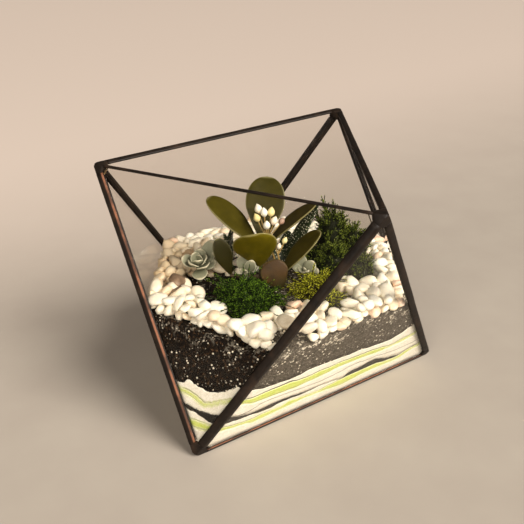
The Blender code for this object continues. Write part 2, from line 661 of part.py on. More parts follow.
def rosette(name, foot, spiral, others, lean, material, seed):
    """Fleshy leaves in a spiral, steeper towards the heart, and longer ones given by their tips."""
    rng = random.Random(seed)
    heart = at(*foot)
    upright = Vector((0, 0, 1))
    turn = upright.rotation_difference((upright + Vector(lean)).normalized())
    low = Vector((heart.x, heart.y, BEAD + STEM_FOOT))
    pieces = [rod([low, heart - upright * 2 * MM, heart], [2.4 * MM, 2.6 * MM, 1.8 * MM], 6)]
    count, length, width = spiral
    for i in range(count):
        share = i / (count - 1)
        bearing = i * math.radians(137.5) + rng.uniform(-0.12, 0.12)
        climb = math.radians(24 + 54 * share)
        reach = length * MM * (1 - 0.4 * share)
        spoke = Vector((math.cos(bearing), math.sin(bearing), 0))
        out = spoke * math.cos(climb) + upright * math.sin(climb)
        face = upright * math.cos(climb) - spoke * math.sin(climb)
        root = heart - upright * MM * (1 - share)
        span = width * MM * (1 - 0.35 * share)
        tip = root + turn @ out * reach
        pieces.append(blade(root, tip, turn @ face, span, 1.9 * MM, SPOON, 4, 0.12, -0.04))
    for tip, facing, span in others:
        root = heart - upright * 2 * MM
        pieces.append(blade(root, at(*tip), Vector(facing), span * MM, 1.9 * MM, SPOON, 5, 0.1, 0.02))
    return fuse(name, pieces, material)


def haworthia(name, foot, tips, width, material):
    """Long pointed leaves from one foot, each given by its tip in mm."""
    x, y, z = foot
    heart = at(*foot)
    pieces = [peg(x, y, 2.6, z + 2)]
    for tip in tips:
        end = at(*tip)
        side = Vector((end.x - heart.x, end.y - heart.y, 0)).normalized()
        facing = Vector((0, 0, 1)) - side * 0.4
        pieces.append(blade(heart, end, facing, width * MM, 2.4 * MM, SPIKE, 5, 0.04, 0.06))
    return fuse(name, pieces, material)


def bud_sprig(name, foot, way, fork, buds, material):
    """A thin twig up to a fork, with a fine branch to each egg-shaped bud."""
    start = Vector((foot[0] * MM, foot[1] * MM, BEAD + STEM_FOOT))
    pieces = [rod([start, at(*way), at(*fork)], [0.9 * MM, 0.7 * MM, 0.6 * MM], 4)]
    for x, y, z, size in buds:
        place = at(x, y, z)
        pieces.append(rod([at(*fork) - (place - at(*fork)) * 0.04, place], [0.5 * MM, 0.42 * MM], 3))
        axis = (place - at(*fork)).normalized()
        ring_radius = size * MM * 0.52
        low = place - axis * size * MM * 0.6
        high = place + axis * size * MM * 0.6
        bud = rod([low, low.lerp(high, 0.4), high], [ring_radius * 0.55, ring_radius, ring_radius * 0.5], 5)
        pieces.append(bud)
    return fuse(name, pieces, material)


def needle(root, tip, thick, rng):
    """A slim three-sided spike."""
    axis = (tip - root).normalized()
    across = axis.orthogonal().normalized()
    across.rotate(Matrix.Rotation(rng.uniform(0, math.tau), 3, axis))
    other = axis.cross(across)
    turns = [math.tau * k / 3 for k in range(3)]
    ring = [root + (across * math.cos(t) + other * math.sin(t)) * thick for t in turns]
    return loft([ring], tip)


def clear_of(tree, points, distance):
    """Whether every point keeps a distance to the pieces made so far."""
    return all(tree.find_nearest(p, distance)[0] is None for p in points)


def tree_of(names):
    """One search tree over the named objects."""
    verts, faces = [], []
    for name in names:
        mesh = bpy.data.objects[name].data
        offset = len(verts)
        verts += [v.co.copy() for v in mesh.vertices]
        faces += [[offset + i for i in p.vertices] for p in mesh.polygons]
    return BVHTree.FromPolygons(verts, faces)


def inside_vessel(point, margin):
    """Whether a point is well inside the panes."""
    return all(outward(f).dot(point - CORNERS[f[0]]) < -GLASS - margin for f in FACES.values())


def moss(name, mounds, sprigs, needles, length, neighbours, material, seed):
    """Mounds and slim upright sprigs covered with fine needles that keep clear of the neighbours."""
    rng = random.Random(seed)
    tree = tree_of(neighbours)
    x, y = mounds[0][:2]
    pieces = [peg(x, y, 2.5, 72)]
    spots = []
    for x, y, wide, deep, top in mounds:
        foot = SOIL_LEVEL / MM + 1.2
        centre = at(x, y, foot)
        rise = (top - foot) * MM
        pieces.append(dome(centre, (0.9 * wide * MM, 0.9 * deep * MM), rise))
        for _ in range(int(needles * wide * deep / sum(m[2] * m[3] for m in mounds))):
            turn = rng.uniform(0, math.tau)
            out = math.sqrt(rng.random()) * 0.95
            height = 0.9 * (1 - out ** 2.2)
            spoke = Vector((math.cos(turn) * wide * out, math.sin(turn) * deep * out, 0)) * MM
            root = centre + spoke * 0.84 + Vector((0, 0, rise * (0.1 + 0.76 * height)))
            lean = spoke.normalized() * (0.3 + 0.9 * out) if spoke.length else Vector()
            spots.append((root, (lean + Vector((0, 0, 0.9))).normalized()))
    for foot, tip in sprigs:
        start, end = at(*foot), at(*tip)
        pieces.append(rod([start, end], [0.9 * MM, 0.5 * MM], 3))
        steps = int((end - start).length / (4 * MM))
        for i in range(1, steps):
            along = (end - start).normalized()
            side = along.orthogonal().normalized()
            side.rotate(Matrix.Rotation(i * 2.4, 3, along))
            spots.append((start.lerp(end, i / steps), (side + along * 0.8).normalized()))
    for root, way in spots:
        reach = length * MM * rng.uniform(0.75, 1.15)
        tip = root + (way + Vector([rng.uniform(-0.3, 0.3) for _ in range(3)])).normalized() * reach
        probes = [root.lerp(tip, s) for s in (0.35, 0.7, 1.0)]
        if clear_of(tree, probes, 1.0 * MM) and inside_vessel(tip, 1.5 * MM):
            pieces.append(needle(root, tip, 0.75 * MM, rng))
    return fuse(name, pieces, material)


def flat_stone(material):
    """The one large flat stone among the pebbles at the front."""
    rng = random.Random(3)
    body = stone(rng, Vector((STONE_AT.x, STONE_AT.y, BEAD + 76 * MM)), (10.5 * MM, 6.5 * MM, 3.4 * MM),
                 3 * MM, 2)
    return to_object("stone_flat", body, material)


def dig_holes(places):
    """Plain round holes in the soil for the plants' feet."""
    cutters = []
    for x, y, radius in places:
        low = Vector((x * MM, y * MM, BEAD + SOIL_LEVEL - HOLE_DEPTH))
        high = Vector((x * MM, y * MM, BEAD + SOIL_LEVEL + HOLE_DEPTH))
        cutters.append(to_object("hole", rod([low, high], [(radius + 0.5) * MM] * 2, 8)))
    soil = bpy.data.objects["soil"]
    material = soil.data.materials[0]
    combine(soil, "DIFFERENCE", cutters)
    tidy(soil)
    soil.data.materials.clear()
    soil.data.materials.append(material)


def build():
    """Make every piece of the terrarium."""
    for old in list(bpy.data.objects):
        bpy.data.objects.remove(old)
    glass = finish("clear_glass", (0.86, 0.92, 0.9), 0.03, alpha=0.25)
    solder = finish("black_patina", (0.035, 0.028, 0.025), 0.42, metallic=0.8)
    for key, face in FACES.items():
        pane(f"pane_{key}", face, glass)
    for group, edges in (("side", SIDE_EDGES), ("base", BASE_EDGES), ("rim", RIM_EDGES)):
        for key, edge in edges.items():
            seam(f"seam_{group}_{key}", edge, solder)
    for place, keys in (("top", "ABC"), ("base", "EFG")):
        for i, key in enumerate(keys):
            corner(f"corner_{place}_{i + 1}", key, solder)

    grounds = {"white": finish("white_sand", (0.86, 0.82, 0.74), 0.9),
               "green": finish("green_sand", (0.5, 0.66, 0.13), 0.9),
               "black": finish("black_sand", (0.03, 0.028, 0.027), 0.9),
               "soil": finish("potting_soil", (0.035, 0.024, 0.017), 0.95)}
    soil_top = pour_layers(grounds)
    pebble_bed(soil_top, finish("marble", (0.85, 0.78, 0.68), 0.55))
    flat_stone(finish("pale_stone", (0.72, 0.66, 0.56), 0.4))

    jade_plant(finish("jade_leaf", (0.09, 0.12, 0.025), 0.35))
    pale_leaf = finish("pale_leaf", (0.36, 0.43, 0.38), 0.6)
    rosette("rosette_left", (-44, 18, 79.5), (11, 11.5, 9.5),
            (((-31.1, 21.6, 91.4), (-0.45, -0.75, 0.48), 8), ((-35.2, 10.3, 82), (-0.3, -0.6, 0.75), 7.5),
             ((-48.5, 6.5, 75.5), (-0.3, -0.4, 0.87), 10)), (-0.18, -0.3, 0), pale_leaf, 1)
    rosette("rosette_middle", (-23.5, -5.5, 78), (4, 6, 4.5),
            (((-23.2, 0.9, 87.1), (-0.45, -0.75, 0.48), 8), ((-19.6, -7.2, 86.1), (-0.3, -0.75, 0.5), 7)),
            (-0.1, -0.3, 0), pale_leaf, 2)
    rosette("rosette_right", (8, -22.5, 76), (4, 6, 4.5),
            (((9.6, -15.1, 84.6), (-0.45, -0.75, 0.48), 7), ((13.6, -24.5, 82.5), (-0.6, -0.6, 0.5), 8),
             ((2.8, -16.3, 80.3), (-0.3, -0.7, 0.6), 5), ((15, -28, 77), (-0.3, -0.5, 0.8), 6.5)),
            (0, -0.2, 0), pale_leaf, 3)
    dark_leaf = finish("dark_leaf", (0.02, 0.035, 0.015), 0.45)
    haworthia("haworthia_right", (2, -10.5, 73), ((28.3, -9.3, 112.1), (14, 4, 92), (22, 3, 90), (3, 3, 87)),
              9.5, dark_leaf)
    haworthia("haworthia_left", (-20, 25, 72), ((-21, 25, 92), (-27, 31, 86), (-13, 30, 88), (-22, 17, 83),
              (-29, 22, 79), (-13, 17, 107)), 6, dark_leaf)
    ivory = finish("ivory_bud", (0.78, 0.7, 0.5), 0.5)
    bud_sprig("bud_sprig_low", (-4.5, -15), (-4.8, -15, 82), (-6.6, -15.5, 89.5),
              ((-5.1, -14.7, 94.4, 2.8), (-6.6, -12.3, 96.8, 2.4), (-1.2, -15.2, 97.4, 3.2)), ivory)
    bud_sprig("bud_sprig_tall", (-7, -12), (-6.8, -11.5, 86), (-9.8, -8.8, 98.5),
              ((-10, -0.1, 115.2, 4.2), (-8.6, -4.3, 114, 4), (-3.9, -5, 113.3, 4.2), (-12.7, -2.5, 110.8, 3.8),
               (-4.3, -8.8, 108.9, 4), (-10.3, -9.7, 108, 4), (1.9, -7.5, 106.4, 3.6)), ivory)
    before = [o.name for o in bpy.context.scene.objects]
    return before


def plant_moss(before):
    """The three mosses, each clear of everything made before it."""
    green = finish("moss_green", (0.07, 0.16, 0.02), 0.85)
    dark = finish("moss_dark", (0.03, 0.08, 0.015), 0.85)
    yellow = finish("moss_yellow", (0.3, 0.33, 0.05), 0.85)
    neighbours = [n for n in before if not n.startswith("soil")]
    moss("moss_front", ((-37, -27, 15, 14, 83), (-41, -38, 10, 8, 79), (-26, -37, 8, 8, 79),
                        (-45, -12, 8.5, 8.5, 79)), (), 90, 8, neighbours, green, 5)
    neighbours.append("moss_front")
    moss("moss_right", ((37, -12, 13, 12, 106), (47, -20, 11, 10, 95), (28, -24, 11, 10, 88),
                        (40, -33, 9, 9, 80), (22, -14, 8, 8, 84)),
         (((36, -10, 98), (34.5, -3.5, 114.5)), ((40, -13, 96), (39.6, -8.5, 111.6)),
          ((33, -9, 92), (29, -2, 107)), ((43, -14, 88), (47, -8, 103)), ((46, -20, 86), (53, -17, 97)),
          ((50, -23, 80), (57, -23, 90))), 60, 7.5, neighbours, dark, 6)
    neighbours.append("moss_right")
    moss("moss_yellow", ((3, -36, 10, 6, 77), (13, -37, 7, 6, 77), (4, -52, 6, 5, 76)), (), 36, 7,
         neighbours, yellow, 7)
    dig_holes(((-12, -6, 3.2), (-44, 18, 2.4), (-23.5, -5.5, 2.4), (8, -22.5, 2.4), (2, -10.5, 2.6),
               (-20, 25, 2.6), (-7, -12, 0.9), (-4.5, -15, 0.9), (-37, -27, 2.5), (37, -12, 2.5),
               (3, -36, 2.5)))


plant_moss(build())
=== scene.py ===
"""Looks of the glass plant terrarium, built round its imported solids.  Metres, +Z up."""

import math

import bpy
import numpy as np
from mathutils import Matrix, Vector


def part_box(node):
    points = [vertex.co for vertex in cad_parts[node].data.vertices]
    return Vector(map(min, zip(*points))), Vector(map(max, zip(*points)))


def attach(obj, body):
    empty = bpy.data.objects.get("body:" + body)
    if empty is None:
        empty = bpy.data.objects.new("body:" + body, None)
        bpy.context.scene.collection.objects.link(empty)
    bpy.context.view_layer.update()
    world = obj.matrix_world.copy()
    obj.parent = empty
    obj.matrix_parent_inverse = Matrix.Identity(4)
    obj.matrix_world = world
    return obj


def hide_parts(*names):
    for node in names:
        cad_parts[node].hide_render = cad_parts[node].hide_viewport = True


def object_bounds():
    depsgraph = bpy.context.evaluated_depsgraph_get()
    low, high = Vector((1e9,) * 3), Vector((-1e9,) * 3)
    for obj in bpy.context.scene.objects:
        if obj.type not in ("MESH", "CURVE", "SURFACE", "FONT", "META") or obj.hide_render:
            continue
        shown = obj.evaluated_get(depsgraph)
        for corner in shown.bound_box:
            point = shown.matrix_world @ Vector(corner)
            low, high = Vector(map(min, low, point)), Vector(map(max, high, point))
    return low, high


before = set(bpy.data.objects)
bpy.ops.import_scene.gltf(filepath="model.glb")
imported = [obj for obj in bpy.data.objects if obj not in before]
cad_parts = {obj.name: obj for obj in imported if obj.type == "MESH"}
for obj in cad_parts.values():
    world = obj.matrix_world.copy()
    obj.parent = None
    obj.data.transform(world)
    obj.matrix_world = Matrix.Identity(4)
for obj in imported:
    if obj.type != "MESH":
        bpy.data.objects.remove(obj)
cad_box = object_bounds()
MM = 0.001

# The vessel, as in the solids: an octahedron standing on the face E-F-G
EDGE = 180 * MM
RADIUS = EDGE / math.sqrt(3)
HEIGHT = EDGE * math.sqrt(2 / 3)
BEAD = 0.9 * MM
GLASS = 2 * MM


def mm(*values):
    """Points given in mm with z above the base pane's underside, as metres in the vessel's frame."""
    points = np.asarray(values, float) * MM
    points[..., 2] += BEAD
    return points


# ---------------------------------------------------------------- shader wiring

class Wire:
    """A node socket used in plain expressions; each operator adds one Math node."""

    def __init__(self, finish, socket):
        self.finish = finish
        self.socket = socket

    def maths(self, operation, first, second=0.0):
        return self.finish.add("Math", {"operation": operation}, {0: first, 1: second})

    def __add__(self, other):
        return self.maths("ADD", self, other)

    def __radd__(self, other):
        return self.maths("ADD", other, self)

    def __sub__(self, other):
        return self.maths("SUBTRACT", self, other)

    def __rsub__(self, other):
        return self.maths("SUBTRACT", other, self)

    def __mul__(self, other):
        return self.maths("MULTIPLY", self, other)

    def __rmul__(self, other):
        return self.maths("MULTIPLY", other, self)

    def __truediv__(self, other):
        return self.maths("DIVIDE", self, other)

    def __pow__(self, other):
        return self.maths("POWER", self, other)

    def clipped(self):
        return self.finish.add("Clamp", {}, {0: self})

    def ramp(self, *stops):
        """A colour ramp; each stop is (place, colour)."""
        return self.finish.add("ValToRGB", {"stops": stops}, {0: self})

    def step(self, low, high):
        """0 below low, 1 above high, smooth between."""
        return self.finish.add("MapRange", {"interpolation_type": "SMOOTHSTEP"},
                               {0: self, 1: low, 2: high, 3: 0.0, 4: 1.0})


class Finish:
    """A node material: every node is added by one method."""

    def __init__(self, name):
        self.material = bpy.data.materials.new(name)
        self.material.use_nodes = True
        self.tree = self.material.node_tree
        self.tree.nodes.clear()
        self.output = self.tree.nodes.new("ShaderNodeOutputMaterial")
        self.place = self.add("TexCoord", {}, {}, "Object")

    def add(self, kind, settings, sockets, out=0):
        """A node of a type with its settings made first, then its sockets set or linked."""
        node = self.tree.nodes.new("ShaderNode" + kind)
        for key, value in settings.items():
            if key == "stops":
                self.set_stops(node.color_ramp, value)
            else:
                setattr(node, key, value)
        for key, value in sockets.items():
            if isinstance(value, Wire):
                self.tree.links.new(value.socket, node.inputs[key])
            elif isinstance(value, tuple) and node.inputs[key].type == "RGBA":
                node.inputs[key].default_value = (*value, 1.0)[:4]
            else:
                node.inputs[key].default_value = value
        return Wire(self, node.outputs[out])

    @staticmethod
    def set_stops(ramp, stops):
        while len(ramp.elements) < len(stops):
            ramp.elements.new(1.0)
        for element, (place, colour) in zip(ramp.elements, stops):
            element.position = place
            element.color = (*colour, 1.0)

    def noise(self, size, detail=3.0, roughness=0.55):
        """Smooth noise whose features are about size metres wide."""
        return self.add("TexNoise", {}, {"Vector": self.place, "Scale": 1 / size,
                                         "Detail": detail, "Roughness": roughness})

    def cells(self, size, out=0, randomness=1.0):
        """Voronoi cells about size metres wide: the distance to their middle, or their colour."""
        return self.add("TexVoronoi", {}, {"Vector": self.place, "Scale": 1 / size,
                                           "Randomness": randomness}, out)

    def channel(self, colour, number):
        """One number out of a colour, counted from its red."""
        return self.add("SeparateColor", {}, {0: colour}, number)

    def field(self, name):
        """A number kept on the mesh."""
        return self.add("Attribute", {"attribute_name": name}, {}, "Fac")

    def mix(self, factor, one, two, blend="MIX"):
        """Two colours mixed by a factor."""
        settings = {"data_type": "RGBA", "blend_type": blend}
        return self.add("Mix", settings, {0: factor, 6: one, 7: two}, 2)

    def bump(self, height, depth, strength=1.0, below=None):
        """A bump of a height socket, depth in metres."""
        sockets = {"Height": height, "Distance": depth, "Strength": strength}
        if below is not None:
            sockets["Normal"] = below
        return self.add("Bump", {}, sockets)

    def principled(self, sockets):
        """Close the material with a Principled shader."""
        shader = self.add("BsdfPrincipled", {}, sockets)
        self.tree.links.new(shader.socket, self.output.inputs["Surface"])
        return self.material


# ---------------------------------------------------------------- skins

def place_object(name, data):
    """A new object in the scene, at the origin and unturned."""
    made = bpy.data.objects.new(name, data)
    bpy.context.scene.collection.objects.link(made)
    return made


def unit(vectors):
    """Vectors scaled to length one."""
    return vectors / np.linalg.norm(vectors, axis=-1, keepdims=True)


def closed_faces(rings, around):
    """Corners of one closed skin: a grid of rings x around points, then its two pole points."""
    ring = np.arange(rings - 1)[:, None] * around
    turn = np.arange(around)[None, :]
    after = (turn + 1) % around
    quads = np.stack([ring + turn, ring + after, ring + around + after, ring + around + turn], -1)
    turn, after = turn[0], after[0]
    top = (rings - 1) * around
    first = np.full(around, rings * around)
    fans = np.concatenate([np.stack([first, after, turn], -1),
                           np.stack([first + 1, top + turn, top + after], -1)])
    return quads.reshape(-1, 4), fans


class Skins:
    """Closed skins gathered into one mesh, with a few numbers kept at every point."""

    def __init__(self):
        self.points, self.quads, self.fans, self.fields = [], [], [], []
        self.count = 0

    def grow(self, grid, first, last, **fields):
        """Add N skins at once: grid is (N, rings, around, 3), the poles are (N, 3).

        A skin whose signed volume, a sixth of the sum of a . (b x c) over its faces, is negative
        has its corners reversed, so that every face points out.
        """
        number, rings, around = grid.shape[:3]
        quads, fans = closed_faces(rings, around)
        points = np.concatenate([grid.reshape(number, -1, 3), first[:, None], last[:, None]], 1)
        thirds = np.concatenate([fans, quads[:, :3], quads[:, [0, 2, 3]]])
        centred = points - points.mean(1, keepdims=True)
        a, b, c = (centred[:, thirds[:, i]] for i in range(3))
        inside_out = (np.einsum("nfi,nfi->n", a, np.cross(b, c)) < 0)[:, None, None]
        shift = (self.count + np.arange(number) * points.shape[1])[:, None, None]
        for store, corners in ((self.quads, quads), (self.fans, fans)):
            store.append((np.where(inside_out, corners[None, :, ::-1], corners[None]) + shift)
                         .reshape(-1, corners.shape[1]))
        self.points.append(points.reshape(-1, 3))
        kept = {}
        for name, value in fields.items():
            value = np.asarray(value, float)
            value = value.reshape(value.shape + (1,) * (3 - value.ndim)) if value.ndim < 3 else value
            value = np.broadcast_to(value, (number, rings, around))
            ends = [value[:, 0].mean(1, keepdims=True), value[:, -1].mean(1, keepdims=True)]
            kept[name] = np.concatenate([value.reshape(number, -1)] + ends, 1).reshape(-1)
        self.fields.append((kept, number * points.shape[1]))
        self.count += number * points.shape[1]

    def build(self, name, finish, replaces=(), slot=None, smooth=True):
        """Put the gathered skins into one object that rides on the vessel."""
        points = np.concatenate(self.points)
        quads = np.concatenate(self.quads)
        fans = np.concatenate(self.fans)
        mesh = bpy.data.meshes.new(name)
        mesh.vertices.add(len(points))
        mesh.vertices.foreach_set("co", points.astype(np.float32).ravel())
        corners = np.concatenate([quads.ravel(), fans.ravel()])
        mesh.loops.add(len(corners))
        mesh.loops.foreach_set("vertex_index", corners.astype(np.int32))
        starts = np.concatenate([np.arange(len(quads)) * 4, quads.size + np.arange(len(fans)) * 3])
        mesh.polygons.add(len(starts))
        mesh.polygons.foreach_set("loop_start", starts.astype(np.int32))
        mesh.update(calc_edges=True)
        mesh.polygons.foreach_set("use_smooth", np.full(len(starts), smooth))
        names = sorted({key for kept, size in self.fields for key in kept})
        for key in names:
            values = np.concatenate([kept.get(key, np.zeros(size)) for kept, size in self.fields])
            layer = mesh.attributes.new(key, "FLOAT", "POINT")
            layer.data.foreach_set("value", values.astype(np.float32))
        mesh.materials.append(finish)
        mesh.validate()
        made = place_object(name, mesh)
        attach(made, "root")
        if replaces:
            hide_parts(*replaces)
        return made


def leaf_width(share, widest, low=1.7, high=2.2):
    """Half-width along a leaf, 1 at its widest: one minus a power of the distance from there."""
    away = np.where(share < widest, (widest - share) / widest, (share - widest) / (1 - widest))
    power = np.where(share < widest, low, high)
    return np.sqrt(np.maximum(1 - away ** power, 0.0))


def grow_leaves(skins, root, tip, facing, width, thick, shares, widths, around=10, cup=0.0, bow=0.0,
                square=1.0, **fields):
    """Leaves from root to tip: oval rings, as wide as widths at each share of the length.

    A ring point is the middle line plus across * cos * half-width plus normal * (sin * half the
    thickness + cup * cos squared); the middle line rises by bow * 4 s (1 - s) of the length.
    """
    root, tip, facing = (np.atleast_2d(np.asarray(v, float)) for v in (root, tip, facing))
    number = len(root)
    width, thick, cup, bow = (np.broadcast_to(np.asarray(v, float), (number,))[:, None, None]
                              for v in (width, thick, cup, bow))
    axis = tip - root
    length = np.linalg.norm(axis, axis=-1)[:, None, None]
    across = unit(np.cross(axis, facing))
    normal = unit(np.cross(across, axis))
    share = np.asarray(shares)[None, :, None]
    span = np.asarray(widths)[None, :, None]
    angle = (np.arange(around) * (math.tau / around))[None, None, :]
    side = np.sign(np.cos(angle)) * np.abs(np.cos(angle)) ** square
    rise = np.sign(np.sin(angle)) * np.abs(np.sin(angle)) ** square
    body = thick / 2 * (0.45 + 0.55 * span) * np.minimum(1, span * 2.2)
    lift = rise * body + cup * width * span * side ** 2 + bow * 4 * share * (1 - share) * length
    grid = (root[:, None, None] + axis[:, None, None] * share[..., None]
            + across[:, None, None] * (side * span * width / 2)[..., None]
            + normal[:, None, None] * lift[..., None])
    end = tip + normal * (cup * width)[:, 0] * 0.2
    start = root
    shape = grid.shape[:3]
    skins.grow(grid, start, end, along=np.broadcast_to(share, shape), side=np.broadcast_to(side, shape),
               face=np.broadcast_to(rise, shape), **fields)


def crosswise(along, whole):
    """Two directions square to along and to each other; the first is square to a guide that is
    level where the whole runs steeply, and nearly upright elsewhere."""
    guide = np.where(np.abs(whole[..., 2:]) > 0.8, [1.0, 0.2, 0.0], [0.0, 0.1, 1.0])
    across = unit(np.cross(along, guide))
    return across, np.cross(along, across)


def grow_rods(skins, path, radius, around=6, **fields):
    """Round stems through (N, points, 3) paths: at each point a ring of the given radius, square to
    the direction between its neighbours."""
    path = np.asarray(path, float)
    radius = np.broadcast_to(np.asarray(radius, float), path.shape[:2])
    along = np.empty_like(path)
    along[:, 1:-1] = path[:, 2:] - path[:, :-2]
    along[:, 0] = path[:, 1] - path[:, 0]
    along[:, -1] = path[:, -1] - path[:, -2]
    along = unit(along)
    across, other = crosswise(along, unit(path[:, -1] - path[:, 0])[:, None])
    angle = np.arange(around) * (math.tau / around)
    wheel = (across[:, :, None] * np.cos(angle)[None, None, :, None]
             + other[:, :, None] * np.sin(angle)[None, None, :, None])
    grid = path[:, :, None] + wheel * radius[:, :, None, None]
    place = np.linspace(0, 1, path.shape[1])[None, :, None]
    start = path[:, 0] - along[:, 0] * radius[:, :1] * 0.6
    end = path[:, -1] + along[:, -1] * radius[:, -1:]
    skins.grow(grid, start, end, along=np.broadcast_to(place, grid.shape[:3]), **fields)


def ball_ways(rings, around):
    """Directions of a ball's grid, ring by ring, and then of its two poles."""
    climb = (np.arange(rings) + 1) * (math.pi / (rings + 1))
    turn = np.arange(around) * (math.tau / around)
    grid = np.stack([np.sin(climb)[:, None] * np.cos(turn), np.sin(climb)[:, None] * np.sin(turn),
                     np.broadcast_to(np.cos(climb)[:, None], (rings, around))], -1)
    return np.concatenate([grid.reshape(-1, 3), [[0.0, 0.0, 1.0], [0.0, 0.0, -1.0]]])


def grow_balls(skins, points, rings, around, **fields):
    """Skins from N sets of points in the order of ball_ways."""
    skins.grow(points[:, :-2].reshape(-1, rings, around, 3), points[:, -2], points[:, -1], **fields)


def grow_stones(skins, rng, centres, sizes, turns, rings=5, around=12, facets=11, power=7.0, **fields):
    """Worn stones: the distance out in a direction d is one over the power-mean of d . n / h over a
    few random flats n at distances h, stretched to its half-sizes and turned."""
    number = len(centres)
    flats = unit(rng.normal(size=(number, facets, 3)))
    depth = rng.uniform(0.6, 0.95, size=(number, facets))
    ways = ball_ways(rings, around)
    cosines = np.maximum(np.einsum("nki,di->ndk", flats, ways), 0) / depth[:, None]
    round_off = 0.93 ** power       # a ball mixed in, which rounds off what no flat cuts
    reach = 1 / ((cosines ** power).sum(-1) + round_off) ** (1 / power)
    points = ways[None] * reach[..., None] * sizes[:, None]
    points = np.einsum("nij,ndj->ndi", turns, points) + centres[:, None]
    grow_balls(skins, points, rings, around, **fields)


def turned(rng, number, tilt):
    """Random turns about Z after a small tilt."""
    spin = rng.uniform(0, math.tau, number)
    lean = rng.normal(0, tilt, (number, 2))
    made = np.empty((number, 3, 3))
    for i in range(number):
        made[i] = np.array(Matrix.Rotation(spin[i], 3, "Z") @ Matrix.Rotation(lean[i, 0], 3, "X")
                           @ Matrix.Rotation(lean[i, 1], 3, "Y"))
    return made


# ---------------------------------------------------------------- the vessel's planes

def ring_point(degrees, height):
    """A corner of the octahedron at a bearing and a height."""
    angle = math.radians(degrees)
    return np.array([RADIUS * math.cos(angle), RADIUS * math.sin(angle), BEAD + height])


CORNERS = {"E": ring_point(-150, 0), "F": ring_point(-30, 0), "G": ring_point(90, 0),
           "A": ring_point(150, HEIGHT), "B": ring_point(30, HEIGHT), "C": ring_point(-90, HEIGHT)}
MIDDLE = np.array([0, 0, BEAD + HEIGHT / 2])
WALLS = ("ACE", "CEF", "BCF", "BFG", "ABG", "AGE")
FACES = ("EFG",) + WALLS
SIDE_EDGES = {"front": "CE", "front_right": "CF", "right": "BF",
              "back_right": "BG", "back_left": "AG", "left": "AE"}
BASE_EDGES = {"front": "EF", "right": "FG", "left": "EG"}
RIM_EDGES = {"front_left": "AC", "right": "BC", "back": "AB"}


def outward(face):
    """Outward normal of a face named by its corners."""
    a, b, c = (CORNERS[key] for key in face)
    normal = unit(np.cross(b - a, c - a))
    return normal if normal @ (a - MIDDLE) > 0 else -normal


def sides_of(edge):
    """For each pane on an edge, the direction into the pane and the one into the vessel."""
    a, b = (CORNERS[key] for key in edge)
    along = unit(b - a)
    found = []
    for face in FACES:
        if set(edge) <= set(face):
            into = sum(CORNERS[key] for key in face) / 3 - a
            found.append((unit(into - (into @ along) * along), -outward(face)))
    return found


SEAM_DEPTH = 4.4 * MM           # from a side edge in to the ridge of its inner bead
SEAM_TRIM = 7.2 * MM            # what the corner lumps cover at each end of a seam


def inner_planes(stand_off):
    """Normals and offsets of the planes round the filling: six walls and the six side seams."""
    normals = [outward(face) for face in WALLS]
    offsets = [normal @ CORNERS[face[0]] - GLASS - stand_off for normal, face in zip(normals, WALLS)]
    for edge in SIDE_EDGES.values():
        inward = unit(sum(deep for into, deep in sides_of(edge)))
        normals.append(-inward)
        offsets.append(-inward @ CORNERS[edge[0]] - SEAM_DEPTH)
    return np.array(normals), np.array(offsets)


PLANES = inner_planes(0.08 * MM)


def reach(bearing, height):
    """Distance from the axis to the walls at bearings (radians) and heights: the least of
    (offset - normal z * height) / (normal . direction) over the planes that face outwards."""
    normals, offsets = PLANES
    way = np.stack([np.cos(bearing), np.sin(bearing)], -1)
    facing = np.einsum("...i,pi->...p", way, normals[:, :2])
    room = offsets - normals[:, 2] * height[..., None]
    return np.where(facing > 0.01, room / np.maximum(facing, 0.01), 9.0).min(-1)


# ---------------------------------------------------------------- glass and solder

def inside_box(points):
    """Points moved into the solids' box."""
    return np.clip(points, *(np.array(side) for side in cad_box))


def uneven(rng, count, smoothness, scale):
    """A smooth random run of numbers: white noise averaged over a bell of neighbours."""
    raw = rng.normal(size=count + 6 * smoothness)
    bell = np.exp(-np.linspace(-2, 2, 4 * smoothness + 1) ** 2)
    run = np.convolve(raw, bell / math.sqrt((bell ** 2).sum()), "valid")[:count]
    return run * scale


def bead_side(into, deep, foil, height):
    """Half of a rounded bead, from its foil edge up over the pane to near the corner of the glass:
    the height falls off as the root of one minus the square of the distance."""
    place = np.linspace(1, 0, 6) ** 0.8
    over = 0.9 * MM + (foil - 0.9 * MM) * place
    proud = height * np.sqrt(np.maximum(1 - place ** 2.4, 0))
    return into * over[:, None] - deep * proud[:, None]


def seam_outline(edge, swell, inner_foil):
    """Closed outline of a side seam: outer bead over both panes, web between them, inner bead."""
    (into_one, deep_one), (into_two, deep_two) = sides_of(edge)
    inward = unit(deep_one + deep_two)
    outer_foil = 3.7 * MM
    one = bead_side(into_one, deep_one, outer_foil, BEAD * swell)
    two = bead_side(into_two, deep_two, outer_foil, BEAD * swell)
    nose = -inward * 1.0 * MM * swell
    web = 2.1 * MM
    hidden = []
    for into, deep in ((into_two, deep_two), (into_one, deep_one)):
        hidden.append(np.array([into * web, into * web + deep * 2.02 * MM,
                                into * inner_foil + deep * 2.02 * MM,
                                into * (inner_foil - 0.4 * MM) + deep * 2.5 * MM,
                                into * 1.6 * MM + deep * 3.0 * MM]))
    ridge = inward * SEAM_DEPTH
    return np.concatenate([one, nose[None], two[::-1], hidden[0], ridge[None], hidden[1][::-1]])


